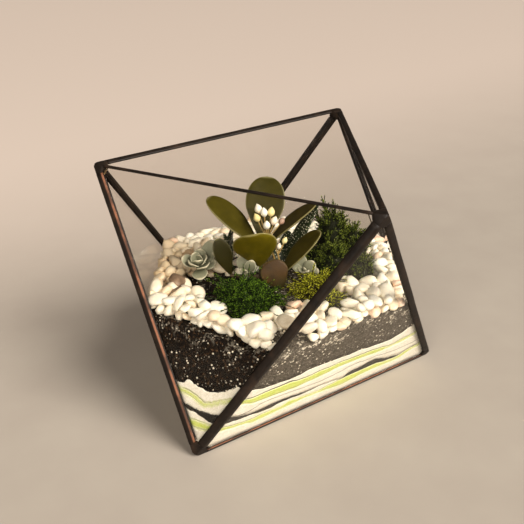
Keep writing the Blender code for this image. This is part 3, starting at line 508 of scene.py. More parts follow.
def base_outline(edge, swell):
    """Closed outline of a base seam: a narrow rounded strip up the wall, a flat one underneath."""
    wall, floor = sorted(sides_of(edge), key=lambda side: side[1][2])
    inward = unit(wall[1] + floor[1])
    strip = bead_side(wall[0], wall[1], 1.5 * MM, BEAD * swell)
    hidden = np.array([wall[0] * 0.1 + wall[1] * -0.25, wall[0] * 0.1 + wall[1] * 2.1,
                       floor[0] * 3.6 + floor[1] * 0.3, floor[0] * 3.6 - floor[1] * 0.2,
                       floor[0] * 4.4 - floor[1] * 0.3, floor[0] * 4.2 - floor[1] * 0.9,
                       floor[0] * 0.9 - floor[1] * 0.9]) * MM
    nose = -inward * 0.85 * MM
    return np.concatenate([nose[None], strip[::-1], hidden])


def rim_outline(edge, swell):
    """Closed outline of the rim: a rounded channel over the bare edge of one pane."""
    ((into, deep),) = sides_of(edge)
    turn = np.linspace(-0.5, 0.5, 9) * math.pi
    round_top = [into * (0.75 - 0.65 * math.cos(t)) * MM + deep * (1.0 + 1.8 * swell * math.sin(t)) * MM
                 for t in turn]
    slot = [into * p * MM + deep * q * MM for p, q in ((1.3, 2.8), (1.8, 2.05), (0.9, 2.05), (0.9, -0.05),
                                                       (1.8, -0.05), (1.3, -0.8))]
    return np.concatenate([np.array(round_top), np.array(slot)])


def run_seam(name, group, edge, finish, rng):
    """A seam run by hand along an edge: its outline at many stations, the bead's height and the
    line of its foil changing a little from place to place.  'copper' marks the outline's points
    where bright foil shows."""
    a, b = (CORNERS[key] for key in edge)
    along = unit(b - a)
    stations = 70
    place = np.linspace(SEAM_TRIM, EDGE - SEAM_TRIM, stations)
    swell = 1 + np.clip(uneven(rng, stations, 3, 0.05), -0.15, 0.1)
    foil = 3.45 * MM + uneven(rng, stations, 4, 0.07 * MM)
    rings = []
    for i in range(stations):
        if group == "side":
            rings.append(seam_outline(edge, swell[i], foil[i]))
        elif group == "base":
            rings.append(base_outline(edge, min(swell[i], 1.0)))
        else:
            rings.append(rim_outline(edge, min(swell[i], 1.0)))
    grid = np.array(rings) + (a + along * place[:, None])[:, None]
    if group != "side":
        grid[:, :, 2] = np.maximum(grid[:, :, 2], 0.0)
    grid = inside_box(grid)
    copper = np.zeros(grid.shape[1])
    if group == "base":
        copper[5:7] = 1
    elif edge == "AE":
        copper[:3] = 1
    skins = Skins()
    skins.grow(grid[None], grid[0].mean(0)[None], grid[-1].mean(0)[None],
               copper=np.broadcast_to(copper, (1,) + grid.shape[:2]))
    skins.build(f"{name}_run", finish, (name,), "black_patina")


def corner_lump(name, key, finish):
    """A rounded lump of solder: the distance out in a direction d is one over the power-mean of
    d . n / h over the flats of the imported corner, kept inside the solids' box."""
    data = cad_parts[name].data
    corners = np.array([v.co for v in data.vertices])
    centre = corners.mean(0) * 0.4 + CORNERS[key] * 0.6
    normals = np.array([p.normal for p in data.polygons])
    middles = np.array([p.center for p in data.polygons])
    depth = np.einsum("fi,fi->f", normals, middles - centre)
    keep = np.unique(np.round(np.column_stack([normals, depth / MM]), 2), axis=0)
    normals, depth = unit(keep[:, :3]), keep[:, 3] * MM
    near = depth > 0.05 * MM
    rings, around = 40, 60
    ways = ball_ways(rings, around)
    cosines = np.maximum(ways @ normals[near].T, 0) / depth[near]
    power = 26.0
    out = 1 / (cosines ** power).sum(-1) ** (1 / power)
    points = inside_box(centre + ways * out[:, None])
    skins = Skins()
    grow_balls(skins, points[None], rings, around)
    skins.build(f"{name}_lump", finish, (name,), "black_patina")


# ---------------------------------------------------------------- sand, soil and pebbles

LAYERS = ("sand_white_lower", "sand_green_lower", "sand_white_middle", "sand_black",
          "sand_white_upper", "sand_green_upper", "sand_white_top")

# Heights of the borders over each layer, at the glass: bearing in degrees, then mm above the base
# pane's underside
BORDERS = {
    "sand_white_lower": ((-170, 13.6), (-157, 13.9), (-150, 14.5), (-146.6, 15), (-143, 13),
                         (-140.3, 11.2), (-137, 9.7), (-134.5, 7.8), (-131.5, 8.1), (-127, 8.4),
                         (-122, 8.7), (-112.5, 9.3), (-105.3, 9.7), (-97.4, 9.1), (-89, 8.7), (-84.5, 7.8),
                         (-75.8, 6.8), (-68, 7.5), (-61.4, 8.6), (-55, 9), (-47, 8.6), (-42, 8.4),
                         (-36, 13.2), (0, 10), (45, 6), (90, 10), (140, 9)),
    "sand_green_lower": ((-170, 18), (-157, 18.3), (-150, 18.7), (-146.5, 18.6), (-143, 16.2),
                         (-140, 13.7), (-137, 12.5), (-134.3, 11.8), (-130.3, 12.7), (-127, 12.4),
                         (-121.8, 11.9), (-115.9, 13.7), (-109.3, 12.7), (-101.8, 11.7), (-93.8, 11.3),
                         (-86, 12.4), (-78.2, 13), (-70, 13.6), (-60, 13.6), (-54.1, 13.6), (-48.1, 11.9),
                         (-43.1, 11), (-38.5, 14.5), (-35.8, 15.6), (0, 14), (45, 9.5), (90, 14), (140, 13)),
    "sand_white_middle": ((-175, 22), (-157, 23.2), (-153.7, 23), (-150.3, 21.8), (-146.5, 20),
                          (-143, 19.2), (-140.3, 18.3), (-138.1, 17.2), (-134.8, 16.8), (-131.1, 15.4),
                          (-126.8, 15), (-121.7, 16.2), (-116, 16.1), (-109.6, 15.2), (-102.5, 15.4),
                          (-95, 15.9), (-87, 15.2), (-76, 13.5), (-70.8, 13.9), (-60, 13.9), (-54.3, 13.9),
                          (-48.2, 12.2), (-43.2, 11.4), (-38.5, 14.8), (-36, 15.9), (0, 18), (45, 14),
                          (90, 18), (140, 18)),
    "sand_black": ((-175, 24.4), (-157.7, 25.4), (-156, 26), (-153, 25), (-150.6, 24.5), (-146.5, 24.8),
                   (-143, 25.4), (-141, 25.2), (-139.3, 23), (-137.7, 20.4), (-134.6, 18.6),
                   (-130.9, 18.5), (-126, 19.3), (-121.7, 19.3), (-116.1, 18.6), (-109.8, 17.3),
                   (-102.7, 16.6), (-95.3, 16.3), (-87, 15.4), (-77, 14.1), (-72.4, 17.4), (-65.3, 18.1),
                   (-59.6, 19.5), (-56.7, 19.7), (-53.2, 18), (-49.5, 15.6), (-46.7, 14.5), (-42, 12.6),
                   (-40, 13.4), (-37.3, 16), (0, 20), (45, 15.5), (90, 20.5), (140, 21)),
    "sand_white_upper": ((-170, 31), (-160, 31.4), (-157.6, 31.7), (-155.4, 31), (-153, 29.7),
                         (-150.9, 28.4), (-149.2, 27.7), (-146.8, 28.8), (-144.8, 30.4), (-142, 32.6),
                         (-139.5, 33.8), (-136, 32), (-132.1, 28.3), (-126.2, 27.5), (-119.1, 26.6),
                         (-113.5, 25.9), (-104.2, 26.4), (-93.9, 26.9), (-83.4, 28.2), (-69.2, 27.7),
                         (-56.4, 26.2), (-46.8, 26.8), (-42, 28.9), (0, 26), (45, 22), (90, 27), (140, 28)),
    "sand_green_upper": ((-170, 34), (-157.9, 34.2), (-155.7, 33.7), (-153.4, 32.7), (-151.1, 31.1),
                         (-149.4, 29.9), (-146.9, 30.8), (-144.9, 32.2), (-143, 33.7), (-141, 34.9),
                         (-139, 36.2), (-136, 35.8), (-132, 33.8), (-126, 34.1), (-121, 33.7),
                         (-116.7, 33.7), (-111.1, 32.1), (-104.9, 31.6), (-98.6, 32.4), (-91.5, 32),
                         (-84.7, 32.5), (-77.5, 31.8), (-70.6, 31.3), (-64.2, 31), (-57.9, 29.9),
                         (-51.8, 28), (-46, 29.8), (-42, 31.2), (0, 31), (45, 28), (90, 31), (140, 32)),
    "sand_white_top": ((-176, 36.3), (-162, 36.5), (-158.9, 37.3), (-157.5, 39.7), (-155.9, 39.9),
                       (-154, 38.2), (-151.7, 37.4), (-148.2, 36.3), (-144.1, 37.8), (-141.7, 39.2),
                       (-139, 41.5), (-136.2, 44), (-133, 42.8), (-130.9, 41.1), (-128, 38.8),
                       (-121.5, 37.9), (-116.8, 36.9), (-111.5, 37.1), (-106.2, 38.7), (-99.6, 38.3),
                       (-86.2, 37.5), (-79, 36.5), (-72.7, 37), (-65.8, 35.4), (-57, 34.4), (-54.4, 34.3),
                       (-50.4, 36.2), (-47.3, 39.6), (-45.3, 39.5), (-30, 38.5), (0, 36), (45, 38),
                       (90, 36), (140, 38)),
    "soil": ((-176, 69.3), (-170, 70), (-164, 68.6), (-158, 68), (-150, 67.3), (-143, 67.1), (-140, 64.2),
             (-136, 61.8), (-132, 62.2), (-128, 66.6), (-121, 64), (-114, 64.8), (-104, 64.1), (-96, 62.9),
             (-89, 63), (-85, 68.6), (-78, 67.8), (-65, 64.4), (-56, 62.5), (-30, 62.5), (0, 63.5),
             (45, 61.5), (90, 63), (140, 65)),
    "pebbles": ((-176, 76), (-153, 74.5), (-137, 73), (-120, 72), (-89, 72), (-80, 74), (-55, 71.5),
                (0, 69.5), (60, 68), (120, 69.5)),
}
PEBBLE_LEVEL = 72.5 * MM
SOIL_LEVEL = 68 * MM
FLOOR_LEVEL = 2.35 * MM         # the underside of the lowest layer
WEDGE_LEVEL = 0.55 * MM         # where that layer ends between the base pane and the walls
STONE_AT = np.array([-33, -66]) * MM
STONE_ROOM = 9 * MM             # pebbles keep this far from the middle of the big stone
CLEARING_ROOM = 1.5 * MM        # and this far from the planted ground
OVERLAP = 0.86                  # the share of their summed radii at which pebbles stop pushing

# Beds of pebbles: how many, the least and greatest radius, and how far below the surface, in mm
PEBBLE_BEDS = ((400, (2.8, 4.8), 4.6), (360, (3.0, 5.8), -0.4))
PAINTED_SHADE_PATCH = (-0.052, 0.038)     # the middle of the painted shade that darkens and tans the pebbles behind the left pane
PAINTED_SHADE_FADE = 32 * MM

# Ground kept free of pebbles: x, y, half-width and half-depth in mm
CLEARINGS = ((-9, -11, 16, 14), (-46, 13, 10, 10), (-57, 18, 7, 6), (-24, -5, 8, 8), (-30, 1, 7, 7),
             (8, -22, 9, 8), (2, -11, 9, 9), (-20, 25, 8, 8), (-37, -27, 17, 16), (-41, -38, 11.5, 9.5),
             (-26, -37, 9.5, 9.5), (-45, -12, 10, 10), (37, -12, 15, 14), (47, -20, 13, 12),
             (28, -24, 13, 12), (40, -33, 11, 11), (22, -14, 10, 10), (3, -36, 11.5, 7.5),
             (13, -37, 8.5, 7.5), (4, -52, 7.5, 6.5), (-13, -28, 8, 7), (-34, 9, 9, 9), (-38, -2, 9, 9),
             (-50, 1, 7, 6))

# Thin dark lines inside a layer: the border they keep to (or none), then bearing, mm above it and
# half-width in mm
THREADS = {
    "sand_white_top": ("sand_green_upper", ((-180, 0.3, 0), (-138, 0.3, 0), (-133, 0.3, 0.35),
                       (-121, 0.5, 0.6), (-117, 0.6, 0.8), (-112, 0.4, 0.5), (-106, 0.3, 0.3),
                       (-85, 0.3, 0.3), (-70, 0.3, 0.42), (-56, 0.3, 0.3), (-49, 0.3, 0.12),
                       (-40, 0.3, 0.12), (0, 0.3, 0.2), (150, 0.3, 0))),
    "sand_white_upper": (None, ((-180, 24, 0), (-141, 22, 0), (-139, 21.6, 0.3), (-137.3, 21.3, 0.35),
                         (-134.3, 21.6, 0.35), (-132.1, 22.7, 0.3), (-130, 24.2, 0.3), (-126, 24.4, 0.3),
                         (-121.7, 23.9, 0.28), (-116.3, 23.2, 0.3), (-106.9, 21.8, 0.3), (-96.1, 21, 0.32),
                         (-88.7, 21.3, 0.32), (-81.4, 22.1, 0.32), (-74.6, 23.6, 0.34), (-69, 23.7, 0.32),
                         (-63.9, 22.6, 0.3), (-57.8, 22.4, 0.3), (-51.6, 20.8, 0.3), (-46.4, 19.8, 0.28),
                         (-42.3, 19.9, 0.28), (-36, 21, 0.25), (0, 22, 0.2), (150, 24, 0))),
    "sand_white_middle": ("sand_green_lower", ((-180, 0.2, 0), (-144, 0.2, 0.1), (-142, 0.2, 0.28),
                          (-128, 0.2, 0.26), (-124, 0.2, 0.05), (-96, 0.2, 0.05), (-92, 0.2, 0.3),
                          (-80, 0.2, 0.3), (-44, 0.2, 0.1), (-36, 0.2, 0.05), (150, 0.2, 0))),
}


def wave(rows, bearing):
    """Values of a table at bearings in radians, its points joined by smooth half-waves:
    low + (high - low) * (1 - cos(pi * share)) / 2."""
    table = np.array(rows, float)
    places = np.append(table[:, 0], table[0, 0] + 360)
    values = np.append(table[:, 1], table[0, 1])
    degrees = (np.degrees(bearing) - places[0]) % 360 + places[0]
    i = np.clip(np.searchsorted(places, degrees, "right") - 1, 0, len(table) - 1)
    share = (degrees - places[i]) / (places[i + 1] - places[i])
    return values[i] + (values[i + 1] - values[i]) * (1 - np.cos(math.pi * share)) / 2


def border(name, bearing):
    """Height of a border at bearings in radians."""
    return wave(BORDERS[name], bearing) * MM


def thread(name, bearing):
    """Height and half-width of a layer's thin dark line at bearings in radians."""
    if name not in THREADS:
        return np.full_like(bearing, -1.0), np.zeros_like(bearing)
    base, rows = THREADS[name]
    height = wave([row[:2] for row in rows], bearing) * MM
    half = wave([(row[0], row[2]) for row in rows], bearing)
    return height + (0 if base is None else border(base, bearing)), half


def fine_bearings():
    """Bearings round the vessel, close together across the two front panes."""
    front = np.arange(-180, -26, 0.5)
    behind = np.arange(-26, 180, 2.0)
    return np.radians(np.concatenate([front, behind]))


def floor_edge(bearing):
    """Distance from the axis to the edge of the base pane's upper side."""
    turns = np.radians([-90, 30, 150])
    facing = np.cos(np.asarray(bearing)[:, None] - turns[None]).max(1)
    return (RADIUS / 2 - 4.0 * MM) / facing


def at_bearing(bearing, out, height):
    """Points at bearings, distances from the axis and heights."""
    return np.stack([out * np.cos(bearing), out * np.sin(bearing), height], -1)


def ring_at(bearing, height, middle, share, at_glass):
    """A ring of a surface: flat at the middle height inside, at the border's height at the glass."""
    blend = np.clip((share - 0.6) / 0.3, 0, 1)
    z = height * blend + middle * (1 - blend)
    return at_bearing(bearing, reach(bearing, BEAD + at_glass) * share, BEAD + z)


def painted_reflection_share(bearing, heights):
    """How much the soil is lightened by painted reflection of the pale floor in the front pane: 0 up
    to the front side seam E-C, 1 from 3 degrees past it, and back to 0 over the 6 degrees before a
    bearing of -24."""
    degrees = np.degrees(bearing)
    share = (heights / HEIGHT)[..., None]
    seam = CORNERS["E"][:2] * (1 - share) + CORNERS["C"][:2] * share
    past = degrees - np.degrees(np.arctan2(seam[..., 1], seam[..., 0]))
    return np.clip(past / 3, 0, 1) * np.clip((-24 - degrees) / 6, 0, 1)


def layer(name, below, above, finish, slot, rise=None):
    """One poured layer: a skin from the middle of its underside out to the glass, up the wall and
    back over its top.  Each point is reach(bearing, height) * share out and mixes the border's
    height at the glass with the level of its middle.  'under' and 'over' keep the distance to its
    two borders in mm, 'thread' the height over its thin dark line, 'half' that line's half-width,
    and the last field how far the soil behind the front pane is lightened, a painted reflection of
    the pale floor in that pane.  The lowest layer also drops into the wedge between the base pane
    and the walls."""
    bearing = fine_bearings()
    low, high = below(bearing), above(bearing)
    line, half = thread(name, bearing)
    rings, heights = [], []
    lowest = name == "sand_white_lower"
    for share in (0.35, 0.7) if lowest else (0.35, 0.7, 0.9, 1.0):
        rings.append(ring_at(bearing, low, low.mean(), share, low))
        heights.append(low)
    if lowest:
        wedge = low * 0 + WEDGE_LEVEL
        edge = np.minimum(floor_edge(bearing), reach(bearing, BEAD + wedge) * 0.985)
        for level in (low, wedge):
            rings.append(at_bearing(bearing, edge, BEAD + level))
            heights.append(level)
        rings.append(ring_at(bearing, wedge, WEDGE_LEVEL, 1.0, wedge))
        heights.append(wedge)
    for part in (0.2, 0.4, 0.6, 0.8):
        at = low + (high - low) * part
        rings.append(ring_at(bearing, at, at.mean(), 1.0, at))
        heights.append(at)
    middle = high.mean() if rise is None else rise
    for share in (1.0, 0.97, 0.9, 0.75, 0.6, 0.4, 0.2):
        rings.append(ring_at(bearing, high, middle, share, high))
        heights.append(high)
    skins = Skins()
    pole = np.array([[0, 0, BEAD + low.mean()], [0, 0, BEAD + middle]])
    heights = np.array(heights)
    skins.grow(np.array(rings)[None], pole[:1], pole[1:], dry=painted_reflection_share(bearing, heights)[None],
               under=(heights - low)[None] / MM,
               over=(high - heights)[None] / MM, thread=(heights - line)[None] / MM,
               half=np.broadcast_to(half, heights.shape)[None])
    skins.build(f"{name}_poured", finish, (name,), slot)


def pour(finishes):
    """All the layers, each between the border below it and its own."""
    rng = np.random.default_rng(8)
    bearing = fine_bearings()

    def floor_level(at):
        return np.full_like(at, FLOOR_LEVEL)

    def ragged(name, below):
        """A layer's top border with a grainy wobble, never below the border under it."""
        rough = 1.0 if name in ("sand_white_top", "sand_white_middle", "sand_black") else 0.5
        front = np.clip((-139 - np.degrees(bearing)) / 4, 0, 1) * 0.75 + 0.25
        wobble = uneven(rng, len(bearing), 1, 0.16 * MM) + uneven(rng, len(bearing), 4, 0.1 * MM)
        wobble = wobble * rough * front

        def height(at):
            return np.maximum(border(name, at) + np.interp(at, bearing, wobble), below(at) + 0.03 * MM)
        return height

    below = floor_level
    for name in LAYERS + ("soil",):
        above = ragged(name, below)
        colour = "potting_soil" if name == "soil" else name.split("_")[1] + "_sand"
        layer(name, below, above, finishes[name], colour, SOIL_LEVEL if name == "soil" else None)
        below = above


def pebble_level(points):
    """Height of the pebble surface at (N, 2) places: level in the middle, its border at the glass."""
    bearing = np.arctan2(points[:, 1], points[:, 0])
    at_glass = border("pebbles", bearing)
    share = np.hypot(points[:, 0], points[:, 1]) / reach(bearing, BEAD + at_glass)
    blend = np.clip((share - 0.62) / 0.28, 0, 1)
    return PEBBLE_LEVEL * (1 - blend) + at_glass * blend


def bare(points, margin):
    """How deep (N, 2) places lie in the planted ground: one minus the distance from the middle of
    the nearest clearing, in its half-sizes; below 0 is outside."""
    best = np.full(len(points), -1.0)
    for x, y, wide, deep in CLEARINGS:
        away = (points - np.array([x, y]) * MM) / (np.array([wide, deep]) * MM + margin)
        best = np.maximum(best, 1 - np.linalg.norm(away, axis=1))
    return best


def settle(rng, count, span, height, rounds=60):
    """Stones spread over the surface: each pushes its neighbours off until they just overlap, and
    the walls push them in."""
    normals, offsets = PLANES
    radius = rng.uniform(*span, count) * MM
    points = rng.uniform(-1, 1, (count, 2)) * RADIUS * 0.95
    for _ in range(rounds):
        gap = points[:, None] - points[None]
        far = np.linalg.norm(gap, axis=-1) + 1e-9
        push = np.maximum((radius[:, None] + radius[None]) * OVERLAP - far, 0)
        np.fill_diagonal(push, 0)
        points += (gap / far[..., None] * push[..., None]).sum(1) * 0.35
        z = BEAD + height(points)
        room = offsets[None] - points @ normals[:, :2].T - z[:, None] * normals[None, :, 2]
        short = np.maximum(radius[:, None] * 0.9 - room, 0)
        points -= np.einsum("np,pi->ni", short, normals[:, :2])
    clear = bare(points, CLEARING_ROOM) < 0
    keep = clear & (np.linalg.norm(points - STONE_AT, axis=1) > STONE_ROOM)
    return points[keep], radius[keep]


def pebbles(finish):
    """Marble chips in two beds, the lower one showing between the others and at the glass, and two
    brown stones.  'warm' is how near a chip lies to the patch behind the left pane where painted
    shade darkens the chips and turns them tan."""
    rng = np.random.default_rng(21)
    skins = Skins()
    for count, span, drop in PEBBLE_BEDS:
        points, radius = settle(rng, count, span, pebble_level)
        number = len(points)
        z = BEAD + pebble_level(points) - drop * MM + rng.uniform(-0.9, 0.9, number) * MM
        sizes = np.stack([radius * rng.uniform(1.02, 1.42, number), radius * rng.uniform(0.82, 1.08, number),
                          radius * rng.uniform(0.55, 0.85, number)], -1)
        centres = np.column_stack([points, z])
        away = np.hypot(*(points - PAINTED_SHADE_PATCH).T)
        grow_stones(skins, rng, centres, sizes, turned(rng, number, 0.42), 7, 16, 10, 28.0,
                    tint=rng.random(number), warm=np.clip(1.5 - away / PAINTED_SHADE_FADE, 0, 1))
    brown = mm((-61.5, 13, 77), (-66, 2, 76))
    grow_stones(skins, rng, brown, np.array([[7.5, 6, 3.2], [4.5, 3.6, 2.4]]) * MM, turned(rng, 2, 0.2),
                9, 18, 10, 28.0, tint=0.5, brown=1.0)
    skins.build("pebbles_marble", finish, ("pebble_bed",), "marble")


def beige_stone(finish):
    """The one large flat stone lying against the front seam."""
    rng = np.random.default_rng(3)
    low, high = (np.array(v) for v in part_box("stone_flat"))
    centre = (low + high) / 2
    size = (high - low) / 2
    skins = Skins()
    grow_stones(skins, rng, centre[None], size[None], np.eye(3)[None], 14, 26, 9, 5.0)
    skins.build("stone_flat_worn", finish, ("stone_flat",), "pale_stone")


# ---------------------------------------------------------------- plants

def even_shares(count, low=0.02, high=0.985):
    """Shares along a leaf, closer together at its two ends."""
    turn = np.linspace(0, math.pi, count)
    return low + (high - low) * (1 - np.cos(turn)) / 2


JADE_LEAVES = (
    # root, tip, facing, width, thickness, cup, bow, brown, dark (painted shade: how far the leaf is darkened
    # as if shaded)
    ((-9.7, -3.2, 93.5), (6.1, 14.9, 127.2), (-0.43, -0.71, 0.56), 24, 2.6, 0.06, 0.05, 0, 0.85),
    ((-12, -4.5, 89.5), (-31.7, 23.7, 119.7), (0.34, -0.58, 0.74), 20.5, 2.6, 0.04, 0.04, 0, 0.65),
    ((-13.5, -6.2, 79), (-24.3, -15.2, 107.6), (0.53, 0.85, -0.03), 27, 2.6, 0.07, 0.02, 0, 0),
    ((-9, -6, 91.5), (23.4, -12.9, 114.3), (-0.52, 0.27, 0.81), 16.5, 2.6, 0.05, 0.04, 0.2, 0.8),
    ((-9.5, -20.8, 77), (19, -23.6, 101.4), (-0.54, 0.16, 0.83), 17, 2.6, 0.05, 0.03, 0.1, 0.75),
    ((-12.7, -29.3, 73.5), (-16.2, -20.2, 90), (-0.3, -0.71, 0.64), 17, 2.4, 0.03, 0.02, 1, 0),
    ((-30, 2, 74.5), (-34.5, 9, 98.5), (-0.3, -0.8, 0.35), 11, 2.4, 0.04, 0.02, 0, 1),
)
STEMS = (
    # points along it, radius in mm
    (((-12, -6, 61.6), (-11.5, -6, 76), (-10.6, -5.4, 86), (-9.5, -4.5, 95)), 2.8),
    (((-12, -6, 72), (-17, -3, 71.8), (-23, 0.4, 72.4), (-30, 2, 74.5)), 1.4),
    (((-12, -6, 73), (-11.8, -11, 72.8), (-11, -16.5, 74), (-9.5, -20.5, 77)), 1.7),
    (((-11.5, -15, 73), (-11.8, -20, 73), (-12.2, -25, 73.3), (-12.5, -29, 74)), 1.4),
)


def jade(finish):
    """Thick jade leaves with rounded rims on a short stem and two creeping branches."""
    skins = Skins()
    shares = even_shares(26)
    widths = leaf_width(shares, 0.6, 1.6, 2.3) * (0.35 + 0.65 * np.clip(shares / 0.5, 0, 1) ** 0.7)
    root, tip, facing = (np.array([leaf[i] for leaf in JADE_LEAVES], float) for i in range(3))
    wide, thick, cup, bow, brown, dark = (np.array([leaf[i] for leaf in JADE_LEAVES], float)
                                          for i in range(3, 9))
    grow_leaves(skins, mm(*root), mm(*tip), facing, wide * MM, thick * MM, shares, widths, 28, cup, bow,
                0.8, brown=brown, dark=dark, leaf=1.0)
    for points, radius in STEMS:
        grow_rods(skins, mm(*points)[None], np.array([1.1, 1.0, 0.95, 0.75]) * radius * MM, 14, leaf=0.0)
    skins.build("jade_leaves", finish, ("jade_plant",), "jade_leaf")


ROSETTES = {
    # foot; spiral leaves: count, length, width; longer ones: tip, facing, width; lean
    "rosette_left": ((-44, 18, 79.5), (9, 13, 10.5),
                     (((-31.1, 21.6, 91.4), (-0.45, -0.75, 0.48), 8),
                      ((-35.2, 10.3, 82), (-0.3, -0.6, 0.75), 7.5),
                      ((-48.5, 6.5, 75.5), (-0.3, -0.4, 0.87), 10)), (-0.18, -0.3)),
    "rosette_middle": ((-23.5, -5.5, 78), (5, 6, 4.5),
                       (((-23.2, 0.9, 87.1), (-0.45, -0.75, 0.48), 8),
                        ((-19.6, -7.2, 86.1), (-0.3, -0.75, 0.5), 7)), (-0.1, -0.3)),
    "rosette_right": ((8, -22.5, 76), (5, 6, 4.5),
                      (((9.6, -15.1, 84.6), (-0.45, -0.75, 0.48), 7),
                       ((13.6, -24.5, 82.5), (-0.6, -0.6, 0.5), 8),
                       ((2.8, -16.3, 80.3), (-0.3, -0.7, 0.6), 5),
                       ((15, -28, 77), (-0.3, -0.5, 0.8), 6.5)), (0, -0.2)),
}


def rosette(name, finish, seed):
    """Spoon-shaped fleshy leaves in a spiral of 137.5 degrees, upright at the heart, and a few longer
    ones from the same foot."""
    rng = np.random.default_rng(seed)
    foot, (count, length, width), others, lean = ROSETTES[name]
    share = np.linspace(0, 1, count)
    bearing = np.arange(count) * math.radians(137.5) + rng.normal(0, 0.08, count)
    climb = np.radians(24 + 48 * share) + rng.normal(0, 0.05, count)
    reach_out = length * MM * (1 - 0.46 * share) * rng.uniform(0.95, 1.05, count)
    turn = np.array(Vector((0, 0, 1)).rotation_difference(Vector((lean[0], lean[1], 1))).to_matrix())
    spoke = np.stack([np.cos(bearing), np.sin(bearing), 0 * bearing], -1)
    upright = np.array([0, 0, 1.0])
    out = spoke * np.cos(climb)[:, None] + upright * np.sin(climb)[:, None]
    face = upright * np.cos(climb)[:, None] - spoke * np.sin(climb)[:, None]
    heart = mm(foot)[0]
    root = heart - upright * 1.2 * MM * (1 - share)[:, None]
    skins = Skins()
    shares = even_shares(14)
    widths = leaf_width(shares, 0.64, 1.6, 1.6) * (0.45 + 0.55 * np.clip(shares / 0.5, 0, 1))
    grow_leaves(skins, root, root + (out @ turn.T) * reach_out[:, None], face @ turn.T,
                width * MM * (1 - 0.38 * share), 1.9 * MM * (1 - 0.3 * share), shares, widths, 16,
                0.17, -0.07, 0.9, heart=share, tint=rng.random(count))
    tips, faces, wide = zip(*others)
    base = np.repeat((heart - upright * 2 * MM)[None], len(others), 0)
    grow_leaves(skins, base, mm(*tips), faces, np.array(wide) * MM, 1.8 * MM, shares, widths, 16,
                0.1, 0.02, 0.9, heart=0.3, tint=rng.random(len(others)))
    stalk = np.array([heart - upright * 16 * MM, heart - upright * 6 * MM, heart])
    grow_rods(skins, stalk[None], 1.6 * MM, 8, heart=0.5)
    skins.build(f"{name}_leaves", finish, (name,), "pale_leaf")


HAWORTHIAS = {
    # foot, tips, width of a leaf
    "haworthia_right": ((2, -10.5, 73), ((28.3, -9.3, 112.1), (14, 4, 92), (22, 3, 90), (3, 3, 87)), 14),
    "haworthia_left": ((-20, 25, 72), ((-21, 25, 92), (-27, 31, 86), (-13, 30, 88), (-22, 17, 83),
                                       (-29, 22, 79), (-13, 17, 107)), 8.5),
}


def haworthia(name, finish):
    """Long pointed leaves from one foot."""
    foot, tips, width = HAWORTHIAS[name]
    skins = Skins()
    root = np.repeat(mm(foot), len(tips), 0)
    tip = mm(*tips)
    side = tip - root
    side[:, 2] = 0
    facing = np.array([0, 0, 1.0]) - unit(side) * 0.4
    shares = even_shares(26)
    widths = leaf_width(shares, 0.25, 1.2, 1.25)
    grow_leaves(skins, root, tip, facing, width * MM, 3.0 * MM, shares, widths, 16, 0.05, 0.06)
    skins.build(f"{name}_leaves", finish, (name,), "dark_leaf")


def eggs(skins, base, axis, length, radius, **fields):
    """Egg-shaped buds: at a share s of the length the radius is sin(pi * s^0.85)^0.8 of the widest."""
    share = np.array([0.04, 0.15, 0.32, 0.5, 0.68, 0.84, 0.95])
    wide = np.sin(math.pi * share ** 0.85) ** 0.8
    path = base[:, None] + axis[:, None] * (share[None, :] * length[:, None])[..., None]
    grow_rods(skins, path, radius[:, None] * wide[None], 12, **fields)


BUDS = {
    # foot, bend and fork of the twig; then each bud's place, size and tone
    "bud_sprig_low": ((-4.5, -15, 61.6), (-4.8, -15, 82), (-6.6, -15.5, 89.5),
                      ((-5.1, -14.7, 94.4, 2.8, 0.2), (-6.6, -12.3, 96.8, 2.2, 0.05),
                       (-1.2, -15.2, 97.4, 3.2, 1))),
    "bud_sprig_tall": ((-7, -12, 61.6), (-6.8, -11.5, 86), (-9.8, -8.8, 98.5),
                       ((-10, -0.1, 115.2, 4.4, 0.1), (-8.6, -4.3, 114, 4.2, 0), (-3.9, -5, 113.3, 4.4, 0.95),
                        (-12.7, -2.5, 110.8, 4, 0.85), (-4.3, -8.8, 108.9, 4.2, 0.3),
                        (-10.3, -9.7, 108, 4.2, 0), (1.9, -7.5, 106.4, 3.6, 0.62))),
}


def bud_sprig(name, finish):
    """A thin twig, a fine branch to each bud, and the buds."""
    foot, way, fork, buds = BUDS[name]
    skins = Skins()
    main = mm(foot, way, fork)
    grow_rods(skins, main[None], np.array([0.8, 0.6, 0.45]) * MM, 8, twig=1.0)
    place = mm(*[bud[:3] for bud in buds])
    size = np.array([bud[3] for bud in buds]) * MM
    start = main[2]
    path = start + (place - start)[:, None] * np.linspace(0, 1, 5)[None, :, None]
    path[:, 1:4, 2] -= 0.8 * MM
    grow_rods(skins, path, 0.32 * MM, 6, twig=1.0)
    outwards = unit(place - start)
    eggs(skins, place - outwards * size[:, None] * 0.72, outwards, size * 1.4, size * 0.54,
         tone=np.array([bud[4] for bud in buds]))
    skins.build(f"{name}_buds", finish, (name,), "ivory_bud")


def leaflets(skins, rng, root, way, length, width, thick, **fields):
    """Tiny flat leaves: four-sided spindles of two rings."""
    number = len(root)
    facing = unit(rng.normal(size=(number, 3)))
    grow_leaves(skins, root, root + way * length[:, None], facing, width, thick, (0.3, 0.66), (1.0, 0.85),
                4, **fields)


